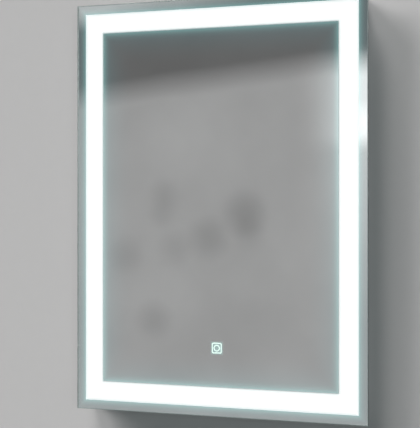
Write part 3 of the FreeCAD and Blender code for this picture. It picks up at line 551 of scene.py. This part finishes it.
def moulded(graph, tone, roughness, scale=1800.0, dusty=0.25):
    """Moulded plastic or rubber: grain, slow changes of shade and dust."""
    grain = graph.group(moulded_grain, Scale=scale, Contrast=0.20)
    dust = graph.group(settled_dust, Amount=dusty)["Mask"]
    clean = graph.tint(tone, grain["Shade"])
    return graph.surface(
        Base_Color=graph.mix(dust, clean, PLASTIC_DUST),
        Roughness=graph.ramp(grain["Height"], *GRAIN, roughness, roughness + 0.12),
        Normal=graph.bump(grain["Height"], 0.06),
    )


def cut_foam(graph, tone, scale):
    """Foam or cured sealant with open pores, each painted darker towards its middle as shade in the
    hollow.
    """
    # Painted shade: each pore is darker towards its middle, where it is deepest.
    pores = graph.cells(scale)["Distance"]
    return graph.surface(
        Base_Color=graph.tint(tone, graph.ramp(pores, 0.05, 0.6, 0.72, 1.08)),
        Roughness=graph.ramp(pores, *GRAIN, 0.75, 0.92), Normal=graph.bump(pores, 0.2),
    )


def lamp_strip(graph):
    """A white strip with copper showing at its pads, and lamps of yellow phosphor on it."""
    lamp_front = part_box("lamp_strip_top")[0].y
    depth = graph.axes(graph.position)["Y"]
    lamp = graph.math("LESS_THAN", depth, lamp_front + 0.6 * MILLIMETRE)
    grain = graph.group(moulded_grain, Scale=900.0, Contrast=0.12)
    pads = graph.math("GREATER_THAN", graph.noise(190.0, detail=1.0), 0.66)
    white, copper, phosphor = (0.86, 0.87, 0.86), (0.80, 0.62, 0.36), (0.93, 0.80, 0.30)
    tone = graph.mix(lamp, graph.mix(pads, white, copper), phosphor)
    return graph.surface(
        Base_Color=graph.tint(tone, grain["Shade"]),
        Roughness=graph.ramp(grain["Height"], *GRAIN, 0.30, 0.48),
        Normal=graph.bump(grain["Height"], 0.04),
    )


def circuit_board(graph):
    """Solder-masked board with raised tracks and tinned pads."""
    tracks = graph.node(
        "TexBrick", {"offset": 0.37}, Vector=graph.position, Scale=90.0, Mortar_Size=0.06,
        Color1=BLACK, Color2=(0.2, 0.2, 0.2), Mortar=(1.0, 1.0, 1.0),
    ).outputs["Fac"]
    pad = graph.ramp(graph.cells(160.0)["Distance"], 0.16, 0.12)
    green, tin = (0.03, 0.20, 0.09), (0.78, 0.77, 0.72)
    mask = graph.tint(green, graph.ramp(tracks, 0.0, 1.0, 0.85, 1.35))
    return graph.surface(
        Base_Color=graph.mix(pad, mask, tin), Metallic=pad,
        Roughness=graph.ramp(pad, 0.0, 1.0, 0.34, 0.22), Normal=graph.bump(tracks, 0.04),
    )


def wound_tape(graph):
    """Yellow tape over a coil, with the edges of its turns."""
    radians_per_metre = 4200.0
    turns = graph.math("SINE", graph.times(graph.axes(graph.position)["Y"], radians_per_metre))
    grain = graph.group(moulded_grain, Scale=1200.0, Contrast=0.15)
    yellow = (0.80, 0.62, 0.12)
    tone = graph.tint(yellow, graph.ramp(turns, 0.7, 1.0, 1.0, 0.72))
    return graph.surface(
        Base_Color=graph.tint(tone, grain["Shade"]),
        Roughness=graph.ramp(grain["Height"], *GRAIN, 0.28, 0.40),
        Normal=graph.bump(turns, 0.05),
    )


def extruded(way, stretch):
    return finish_named(
        f"extruded_aluminium_{way}", drawn_metal,
        tone=colours().aluminium, stretch=stretch, roughness=0.30,
    )


def zinc():
    return finish_named("zinc_plate", plated, tone=colours().zinc, roughness=0.24)


def rubber():
    return finish_named(
        "moulded_rubber", moulded, tone=colours().rubber, roughness=0.62, scale=1300.0, dusty=0.35
    )


# ---------- pieces


def dress(material, *nodes):
    """Gives CAD nodes a finish. Their shape and place stay as packed."""
    for name in nodes:
        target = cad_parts[name]
        if not target.material_slots:
            target.data.materials.append(None)
        for material_slot in target.material_slots:
            material_slot.material = material


def new_piece(name, shape, body, slot, material, *replaced, smooth=30.0):
    """A piece from a filled bmesh. It rides on its body and stands for the nodes named."""
    bmesh.ops.recalc_face_normals(shape, faces=shape.faces)
    mesh = bpy.data.meshes.new(name)
    shape.to_mesh(mesh)
    shape.free()
    mesh.shade_smooth()
    mesh.set_sharp_from_angle(angle=math.radians(smooth))
    mesh.materials.append(material)
    piece = bpy.data.objects.new(name, mesh)
    bpy.context.scene.collection.objects.link(piece)
    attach(piece, body)
    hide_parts(*replaced)


def solids(node):
    """The lowest and highest corners of each separate solid of a CAD node."""
    shape = bmesh.new()
    shape.from_mesh(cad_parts[node].data)
    bmesh.ops.remove_doubles(shape, verts=shape.verts, dist=0.001 * MILLIMETRE)
    left, boxes = set(shape.verts), []
    while left:
        found, edge = set(), {left.pop()}
        while edge:
            found |= edge
            edge = {e.other_vert(v) for v in edge for e in v.link_edges} - found
        left -= found
        low, high = (Vector(map(pick, *[v.co for v in found])) for pick in (min, max))
        boxes.append((low, high))
    shape.free()
    return sorted(boxes, key=lambda box: tuple(box[0]))


def round_in(low, high):
    """The middle across and up and the radius of a round solid, seen along Y."""
    return (low.x + high.x) / 2, (low.z + high.z) / 2, (high.x - low.x) / 2


def skin(shape, loops, closed=False):
    """Faces between neighbouring loops of the same count, and a cap on the last open one."""
    following = loops[1:] + loops[:1] if closed else loops[1:]
    for first, second in zip(loops, following):
        for step in range(len(first)):
            after = (step + 1) % len(first)
            shape.faces.new((first[step], first[after], second[after], second[step]))
    if not closed:
        shape.faces.new(loops[-1])


def ring(shape, x, z, radius, y, steps, turn=0.0):
    """Vertices on a circle about a line along Y."""
    angles = [2 * math.pi * step / steps + turn for step in range(steps)]
    return [
        shape.verts.new((x + radius * math.cos(a), y, z + radius * math.sin(a))) for a in angles
    ]


def turned(shape, x, z, profile, closed=False, steps=48):
    """Turns a profile of (radius, y) points about a line along Y. An open profile gets caps."""
    loops = [ring(shape, x, z, radius, y, steps) for radius, y in profile]
    skin(shape, loops, closed)
    if not closed:
        shape.faces.new(loops[0])


def quarter(middle, radius, start, count=4):
    """Points of a quarter round from a start angle, anticlockwise in (radius, y)."""
    across, y = middle
    angles = [math.radians(start + 90 * step / count) for step in range(count + 1)]
    return [(across + radius * math.cos(a), y + radius * math.sin(a)) for a in angles]


def cross_screw(shape, low, high, turn):
    """A pan-head screw in its CAD box, with a cross recess in the head that faces the wall."""
    rings, steps = 12, 64
    x, z, radius = round_in(low, high)
    crown, seat = high.y, high.y - 2.0 * MILLIMETRE
    crown_drop, rim_rounding = 0.9 * MILLIMETRE, 0.15 * MILLIMETRE
    shank, point, point_radius = 1.7 * MILLIMETRE, 1.2 * MILLIMETRE, 0.595 * MILLIMETRE
    arm, width, depth = sizes().recess_arm, sizes().recess_width, sizes().recess_depth
    recess_taper = 0.55
    loops = []
    for count in range(1, rings + 1):
        out = count / rings
        loop = ring(shape, x, z, radius * out, crown - crown_drop * out**3, steps, turn)
        for step, corner in enumerate(loop):
            bearing = 2 * math.pi * step / steps
            u, v = abs(radius * out * math.cos(bearing)), abs(radius * out * math.sin(bearing))
            if max(u, v) < arm and min(u, v) < width:
                corner.co.y -= depth * (1.0 - recess_taper * max(u, v) / arm)
        loops.append(loop)
    for ring_radius, y in (
        (radius, seat + rim_rounding), (radius * 0.96, seat), (shank, seat),
        (shank, low.y + point), (point_radius, low.y),
    ):
        loops.append(ring(shape, x, z, ring_radius, y, steps, turn))
    skin(shape, loops)
    bottom = shape.verts.new((x, crown - depth, z))
    for step in range(steps):
        shape.faces.new((bottom, loops[0][step], loops[0][(step + 1) % steps]))


def make_screws(name, node):
    first_turn, next_turn = 0.4, 1.9
    shape = bmesh.new()
    for count, (low, high) in enumerate(solids(node)):
        cross_screw(shape, low, high, first_turn + next_turn * count)
    new_piece(name, shape, MIRROR_BODY, "zinc_screws", zinc(), node)


# ---------- operators


class MirrorStep:
    """What every step shares: it can be undone."""

    bl_options = {"REGISTER", "UNDO"}


class MIRROR_OT_glass(MirrorStep, bpy.types.Operator):
    """Make the glass sheet with its ground edge and nipped corners"""

    bl_idname = "mirror.glass"
    bl_label = "Glass sheet"

    def execute(self, context):
        arris, rear = sizes().arris, GLASS_HIGH.y - sizes().air_film
        # Shares of the arris: in from the outline, back from the face.
        rounding = ((1.0, 0.0), (0.45, 0.12), (0.12, 0.45), (0.0, 1.0))
        profile = [(arris * inset, GLASS_LOW.y + arris * depth) for inset, depth in rounding]
        profile += [(arris * inset, rear - arris * depth) for inset, depth in reversed(rounding)]
        shape = bmesh.new()
        loops = []
        for inset, y in profile:
            radius = max(sizes().corner - inset, 0.15 * MILLIMETRE)
            loop = []
            for right, up, start in ((1, 1, 0), (-1, 1, 90), (-1, -1, 180), (1, -1, 270)):
                centre = (
                    (GLASS_HIGH.x - inset - radius) * right,
                    MIDDLE.z + ((GLASS_HIGH.z - GLASS_LOW.z) / 2 - inset - radius) * up,
                )
                loop += [shape.verts.new((px, y, pz)) for px, pz in quarter(centre, radius, start)]
            loops.append(loop)
        skin(shape, loops)
        shape.faces.new(loops[0])
        glass = finish_named("float_glass", float_glass)
        new_piece(
            "glass_sheet", shape, MIRROR_BODY, "float_glass", glass, "mirror_glass", smooth=5.0
        )
        return {"FINISHED"}


class MIRROR_OT_silvering(MirrorStep, bpy.types.Operator):
    """Finish the silvering, its backing paint and the painted glow beside the lit band"""

    bl_idname = "mirror.silvering"
    bl_label = "Silvering"

    def execute(self, context):
        dress(finish_named("silvering", silvering), "silver_field", "silver_rim")
        return {"FINISHED"}


class MIRROR_OT_light(MirrorStep, bpy.types.Operator):
    """Finish the opal panels, the strips of lamps and their links"""

    bl_idname = "mirror.light"
    bl_label = "Lit band"

    def execute(self, context):
        opal = finish_named("lit_opal", lit_opal)
        strip = finish_named("lamp_strip", lamp_strip)
        for side in ("top", "bottom", "left", "right"):
            dress(opal, f"diffuser_{side}")
            dress(strip, f"lamp_strip_{side}")
        dress(strip, "strip_links")
        return {"FINISHED"}


class MIRROR_OT_frame(MirrorStep, bpy.types.Operator):
    """Finish the frame's extrusions, corner keys, bond and seal"""

    bl_idname = "mirror.frame"
    bl_label = "Frame"

    def execute(self, context):
        dress(extruded("across", ALONG_X), "frame_top", "frame_bottom")
        dress(extruded("upright", ALONG_Z), "frame_left", "frame_right")
        key = finish_named("cast_zinc", plated, tone=(0.60, 0.61, 0.62), roughness=0.42)
        for corner in ("top_left", "top_right", "bottom_left", "bottom_right"):
            dress(key, f"corner_key_{corner}")
        dress(zinc(), "corner_grub_screws")
        bead = finish_named("silicone_bead", cut_foam, tone=(0.80, 0.81, 0.80), scale=2600.0)
        dress(bead, "glass_bond")
        seal = finish_named("foam_seal", cut_foam, tone=(0.06, 0.06, 0.065), scale=1400.0)
        dress(seal, "light_seal")
        return {"FINISHED"}


class MIRROR_OT_back_panel(MirrorStep, bpy.types.Operator):
    """Finish the back panel and make the screws that hold it and the devices"""

    bl_idname = "mirror.back_panel"
    bl_label = "Back panel and screws"

    def execute(self, context):
        dress(finish_named("galvanised_sheet", spangled_sheet), "back_panel")
        make_screws("panel_screw_set", "panel_screws")
        make_screws("device_screw_set", "device_screws")
        make_screws("spacer_screw_set", "spacer_screws")
        return {"FINISHED"}


class MIRROR_OT_rails(MirrorStep, bpy.types.Operator):
    """Finish the two hanging rails and make the blind rivets"""

    bl_idname = "mirror.rails"
    bl_label = "Rails and rivets"

    def execute(self, context):
        metal = finish_named(
            "rail_aluminium", drawn_metal,
            tone=colours().rail, stretch=ALONG_X, roughness=0.26, contrast=0.16,
        )
        dress(metal, "wall_rail", "hanger_rail")
        shape = bmesh.new()
        for low, high in solids("hanger_rivets"):
            x, z, radius = round_in(low, high)
            turned(shape, x, z, self.profile(low.y, high.y, radius))
        rivet = finish_named("rivet_aluminium", plated, tone=(0.80, 0.81, 0.82), roughness=0.28)
        new_piece("rivet_set", shape, MIRROR_BODY, "rivet_aluminium", rivet, "hanger_rivets")
        return {"FINISHED"}

    def profile(self, low, high, radius):
        """From the sunken end of the drawn pin, over the domed head and down to the set tail."""
        seat, tail = high - 1.2 * MILLIMETRE, low + 2.5 * MILLIMETRE
        stem = 2.0 * MILLIMETRE
        pin = ((0.5, 0.75), (1.05, 0.70), (1.15, 0.08), (1.45, 0.0))
        dome = ((0.62, 0.12), (0.85, 0.45))
        return [
            *((across * MILLIMETRE, high - drop * MILLIMETRE) for across, drop in pin),
            *((across * radius, high - drop * MILLIMETRE) for across, drop in dome),
            (radius, seat + 0.22 * MILLIMETRE), (radius * 0.98, seat),
            (stem, seat), (stem, tail), (stem * 1.45, tail - 0.3 * MILLIMETRE),
            (stem * 1.6, tail - 1.1 * MILLIMETRE), (stem * 1.3, low + 0.3 * MILLIMETRE),
            (stem * 0.6, low),
        ]


class MIRROR_OT_rubber(MirrorStep, bpy.types.Operator):
    """Make the rubber spacers behind the lower edge and the cable grommet"""

    bl_idname = "mirror.rubber"
    bl_label = "Rubber pieces"

    def execute(self, context):
        for side in ("left", "right"):
            self.piece(f"spacer_foot_{side}", f"spacer_{side}", self.spacer_profile)
        self.piece("grommet_ring", "cable_grommet", self.grommet_profile)
        return {"FINISHED"}

    def piece(self, name, node, profile):
        (low, high), = solids(node)
        x, z, radius = round_in(low, high)
        shape = bmesh.new()
        turned(shape, x, z, profile(low.y, high.y, radius), closed=True)
        new_piece(name, shape, MIRROR_BODY, "rubber", rubber(), node)

    def spacer_profile(self, low, high, radius):
        """A grooved foot with a well for the screw's head."""
        bore, hole, floor = 5.0 * MILLIMETRE, 2.0 * MILLIMETRE, high - 5.0 * MILLIMETRE
        soft, groove, waist = sizes().rounding, 0.5 * MILLIMETRE, (low + high) / 2
        return [
            (hole, low), (radius - soft, low),
            *quarter((radius - soft, low + soft), soft, -90)[1:],
            (radius, waist - 2 * groove), (radius - groove, waist - groove),
            (radius - groove, waist + groove), (radius, waist + 2 * groove),
            *quarter((radius - soft, high - soft), soft, 0),
            (bore + soft / 2, high), (bore, high - soft / 2), (bore, floor), (hole, floor),
        ]

    def grommet_profile(self, low, high, radius):
        """A ring with two round flanges and a neck for the panel's edge between them."""
        bore, neck, flange = 3.6 * MILLIMETRE, 8.0 * MILLIMETRE, 1.8 * MILLIMETRE
        bead = flange / 2
        soft = bead * 0.3
        return [
            *quarter((radius - bead, low + bead), bead, -90)[1:],
            *quarter((radius - bead, low + bead), bead, 0)[1:],
            (neck, low + flange), (neck, high - flange),
            *quarter((radius - bead, high - bead), bead, -90)[:-1],
            *quarter((radius - bead, high - bead), bead, 0),
            (bore + bead, high), (bore + soft, high - soft), (bore, high - bead),
            (bore, low + bead), (bore + soft, low + soft), (bore + bead, low),
        ]


class MIRROR_OT_electrics(MirrorStep, bpy.types.Operator):
    """Finish the driver, the terminal block, the touch switch and the leads"""

    bl_idname = "mirror.electrics"
    bl_label = "Electrics"

    def execute(self, context):
        for name, tone, roughness, *nodes in (
            ("driver_plastic", (0.78, 0.78, 0.77), 0.42, "driver_base", "driver_lid"),
            ("capacitor_sleeve", (0.05, 0.06, 0.09), 0.30, "driver_capacitors"),
            ("terminal_nylon", (0.80, 0.79, 0.74), 0.38, "terminal_block"),
            ("touch_plastic", (0.09, 0.09, 0.10), 0.45, "touch_case"),
            ("clip_nylon", (0.72, 0.71, 0.66), 0.40, "lead_clips"),
        ):
            dress(finish_named(name, moulded, tone=tone, roughness=roughness), *nodes)
        sheath = finish_named(
            "lead_sheath", moulded, tone=(0.62, 0.62, 0.60), roughness=0.40, scale=2600.0
        )
        dress(sheath, "mains_lead", "lamp_lead", "touch_lead")
        dress(finish_named("circuit_board", circuit_board), "driver_board", "touch_board")
        dress(finish_named("coil_wrap", wound_tape), "driver_coil")
        brass = finish_named("terminal_brass", plated, tone=(0.80, 0.62, 0.30), roughness=0.22)
        dress(brass, "terminal_screws")
        pad = finish_named("bond_pad", cut_foam, tone=(0.12, 0.12, 0.12), scale=1200.0)
        dress(pad, "touch_bond_pad")
        dress(finish_named("touch_glow", lit_guide), "touch_light_guide")
        return {"FINISHED"}


class MIRROR_OT_studio(MirrorStep, bpy.types.Operator):
    """Set up the wall, the floor, the reflected room, the lamps, the world and the camera"""

    bl_idname = "mirror.studio"
    bl_label = "Studio"

    def execute(self, context):
        width, depth, height = 8.0, 5.0, 4.6
        left, floor = -width / 2, CAD_BOX[0].z - studio().floor_drop
        across = (width, 0.0, 0.0)
        paint = finish_named(
            "wall", matt_paint, tone=studio().wall, roughness=0.92, shine=0.15,
            scale=420.0, contrast=0.03, depth=0.02,
        )
        self.sheet("wall", paint, (left, studio().wall_gap, floor), across, (0.0, 0.0, height))
        paint = finish_named(
            "floor", matt_paint, tone=studio().floor, roughness=0.8, shine=0.2,
            scale=160.0, contrast=0.04, depth=0.2,
        )
        ground = self.sheet("floor", paint, (left, -depth, floor), across, (0.0, depth, 0.0))
        ground.visible_diffuse = False
        # The reflected room is an emissive card of painted light and shade that only mirror rays
        # see.
        room = finish_named("reflected_room", room_card)
        room_width, room_height, corner = 18.0, 9.0, (7.0, -depth, -4.0)
        leftward, upward = (-room_width, 0.0, 0.0), (0.0, 0.0, room_height)
        self.sheet("reflected_room", room, corner, leftward, upward)
        warm, cool = studio().lamp_tone, studio().fill_tone
        for name, direction, strength, spread, tone in (
            ("key", (-5.0, -1.0, 3.5), studio().key, studio().key_spread, warm),
            ("overhead", (-1.0, -1.0, 5.0), studio().overhead, studio().overhead_spread, warm),
            ("fill", (0.6, -1.0, 0.0), studio().fill, studio().fill_spread, cool),
        ):
            self.far_light(name, direction, strength, spread, tone)
        power = studio().back_power
        self.lamp("back_left", (-1.6, 2.4, 1.0), size=1.6, power=power)
        self.lamp("back_right", (1.9, 2.6, 0.4), size=1.2, power=0.45 * power)
        self.world()
        self.camera()
        return {"FINISHED"}

    def sheet(self, name, finish, corner, across, along):
        """A flat backdrop from a corner and two edges."""
        corner, across, along = Vector(corner), Vector(across), Vector(along)
        mesh = bpy.data.meshes.new(name)
        ends = [corner, corner + across, corner + across + along, corner + along]
        mesh.from_pydata(ends, [], [(0, 1, 2, 3)])
        mesh.materials.append(finish)
        backdrop = bpy.data.objects.new(name, mesh)
        bpy.context.scene.collection.objects.link(backdrop)
        return backdrop

    def hang(self, name, light, place):
        """A lamp at a place, turned to the mirror's middle."""
        lamp = bpy.data.objects.new(name, light)
        lamp.location = place
        lamp.rotation_euler = (MIDDLE - lamp.location).to_track_quat("-Z", "Y").to_euler()
        bpy.context.scene.collection.objects.link(lamp)
        return lamp

    def far_light(self, name, direction, strength, spread, tone):
        """A wide, soft light from far off, so that the wall is lit evenly."""
        light = bpy.data.lights.new(name, "SUN")
        light.energy, light.angle, light.color = strength, spread, tone
        lamp = self.hang(name, light, MIDDLE + Vector(direction))
        lamp.visible_glossy = lamp.visible_transmission = False

    def lamp(self, name, place, size, power):
        light = bpy.data.lights.new(name, "AREA")
        light.shape, light.size, light.energy = "DISK", size, power
        self.hang(name, light, place)

    def world(self):
        """Even light from all round, and a pale surround where a ray meets nothing."""
        world = bpy.data.worlds.new("soft_studio")
        world.use_nodes = True
        graph = Graph(world.node_tree)
        camera_ray = graph.node("LightPath").outputs["Is Camera Ray"]
        seen = graph.math("MAXIMUM", camera_ray, seen_mirrored(graph))
        light = graph.node("Background", Color=studio().fill_tone, Strength=studio().ambient)
        surround = graph.node("Background", Color=studio().surround, Strength=1.0)
        both = graph.either(seen, light.outputs[0], surround.outputs[0])
        graph.node("OutputWorld", Surface=both)
        bpy.context.scene.world = world

    def camera(self):
        lens = bpy.data.cameras.new("camera")
        lens.sensor_width, lens.lens = 36.0, studio().lens
        lens.shift_x, lens.shift_y = studio().shift
        eye = bpy.data.objects.new("camera", lens)
        eye.location = (studio().eye_x, -studio().eye_y, MIDDLE.z)
        eye.rotation_euler = (math.radians(90), 0.0, studio().yaw)
        bpy.context.scene.collection.objects.link(eye)
        bpy.context.scene.camera = eye
        bpy.context.scene.view_settings.view_transform = "Standard"


# ---------- finishes of the studio


def seen_mirrored(graph):
    """1 for rays off a mirror or through glass."""
    path = graph.node("LightPath").outputs
    return graph.math("MAXIMUM", path["Is Glossy Ray"], path["Is Transmission Ray"])


def shown_from_the_front(graph, surface):
    """The sheet shows its front alone, and lamps shine through it."""
    behind = graph.node("NewGeometry").outputs["Backfacing"]
    shadow = graph.node("LightPath").outputs["Is Shadow Ray"]
    clear = graph.node("BsdfTransparent").outputs[0]
    return graph.either(graph.math("MAXIMUM", behind, shadow), surface, clear)


def matt_paint(graph, tone, roughness, shine, scale, contrast, depth):
    """Paint with a fine grain, shown from the front."""
    grain = graph.group(moulded_grain, Scale=scale, Contrast=contrast)
    return shown_from_the_front(graph, graph.surface(
        Base_Color=graph.tint(tone, grain["Shade"]), Roughness=roughness,
        Specular_IOR_Level=shine, Normal=graph.bump(grain["Height"], depth),
    ))


# Painted darker and lighter patches of the reflected room: across, up, reach, change of brightness.
ROOM_PATCHES = (
    (-1.905, -0.29, 0.16, -0.21),
    (-1.87, -0.40, 0.12, -0.08),
    (-2.142, -0.43, 0.15, -0.17),
    (-2.42, -0.17, 0.11, -0.09),
    (-2.42, -0.28, 0.11, -0.09),
    (-2.355, -0.49, 0.13, -0.11),
    (-2.666, -0.53, 0.13, -0.10),
    (-2.484, -0.91, 0.14, -0.17),
    (-1.95, -0.95, 0.30, -0.07),
    (-2.39, 0.12, 0.30, 0.10),
    (-1.20, 0.21, 0.14, 0.7),
)


def soft_spot(graph, across, up, reach):
    """1 at a place on the card, falling softly to 0 at its reach."""
    offset = graph.vector("SUBTRACT", graph.position, (across, 0.0, up))
    on_card = graph.vector("MULTIPLY", offset, (1.0, 0.0, 1.0))
    near = graph.ramp(graph.vector("LENGTH", on_card, result="Value"), reach, 0.0)
    return graph.math("SMOOTH_MIN", graph.times(near, 1.3), 1.0)


def bright_side(graph, across, up):
    """Painted light on the right of the card, fading to the left, above and below."""
    side = graph.ramp(across, -1.65, -1.20)
    upper = graph.ramp(up, 0.62, 0.47)
    low_part, high_part = (-0.90, 0.05, 0.0, 0.45), (0.05, 0.15, 0.0, 0.55)
    lower = graph.plus(graph.ramp(up, *high_part), graph.ramp(up, *low_part))
    return graph.times(graph.times(graph.times(side, side), upper), lower)


def room_card(graph):
    """The room opposite as painted light and shade, seen only in the mirror: grey, soft, darker
    above, with a bright side.
    """
    place = graph.axes(graph.position)
    cloud = graph.noise(2.2, detail=3.0)
    shade = graph.ramp(cloud, *NOISE, 0.95, 1.06)
    for across, up, reach, change in ROOM_PATCHES:
        spot = soft_spot(graph, across, up, reach)
        shade = graph.plus(shade, graph.times(spot, change))
    slope, pivot = -0.10, 2.772
    tilted = graph.plus(place["Z"], graph.times(graph.plus(place["X"], pivot), slope))
    drift = graph.times(graph.minus(cloud, 0.5), 0.06)
    tilted = graph.plus(tilted, drift)
    # Painted shade over the upper part and a painted bright strip at the top.
    darker_above = graph.ramp(tilted, 0.34, 0.50, 1.0, 0.38)
    bright_top = graph.ramp(tilted, 0.82, 0.94, 0.0, 0.95)
    shade = graph.plus(graph.times(shade, darker_above), bright_top)
    painted_window_light = graph.times(bright_side(graph, place["X"], place["Z"]), 1.45)
    tone = graph.tint(studio().reflected, graph.plus(shade, painted_window_light))
    room = graph.node("Emission", Color=tone, Strength=1.0).outputs[0]
    clear = graph.node("BsdfTransparent").outputs[0]
    return graph.either(seen_mirrored(graph), clear, room)


# ---------- panel and registration

STEPS = MirrorStep.__subclasses__()


class MIRROR_PT_steps(bpy.types.Panel):
    """The mirror's steps, sizes and colours"""

    bl_label = "Lighted mirror"
    bl_idname = "MIRROR_PT_steps"
    bl_space_type = "VIEW_3D"
    bl_region_type = "UI"
    bl_category = "Mirror"

    def draw(self, context):
        for step in STEPS:
            self.layout.operator(step.bl_idname)
        for settings in (sizes(), colours(), studio()):
            box = self.layout.box()
            for name in settings.bl_rna.properties.keys():
                if name not in {"rna_type", "name"}:
                    box.prop(settings, name)


CLASSES = (MirrorSizes, MirrorColours, StudioSettings, *STEPS, MIRROR_PT_steps)


def register():
    for item in CLASSES:
        bpy.utils.register_class(item)
    bpy.types.Scene.mirror_sizes = PointerProperty(type=MirrorSizes)
    bpy.types.Scene.mirror_colours = PointerProperty(type=MirrorColours)
    bpy.types.Scene.studio_settings = PointerProperty(type=StudioSettings)


def unregister():
    del bpy.types.Scene.studio_settings
    del bpy.types.Scene.mirror_colours
    del bpy.types.Scene.mirror_sizes
    for item in reversed(CLASSES):
        bpy.utils.unregister_class(item)


def main():
    register()
    bpy.ops.mirror.studio()
    bpy.ops.mirror.glass()
    bpy.ops.mirror.silvering()
    bpy.ops.mirror.light()
    bpy.ops.mirror.frame()
    bpy.ops.mirror.back_panel()
    bpy.ops.mirror.rails()
    bpy.ops.mirror.rubber()
    bpy.ops.mirror.electrics()


if __name__ == "__main__":
    main()
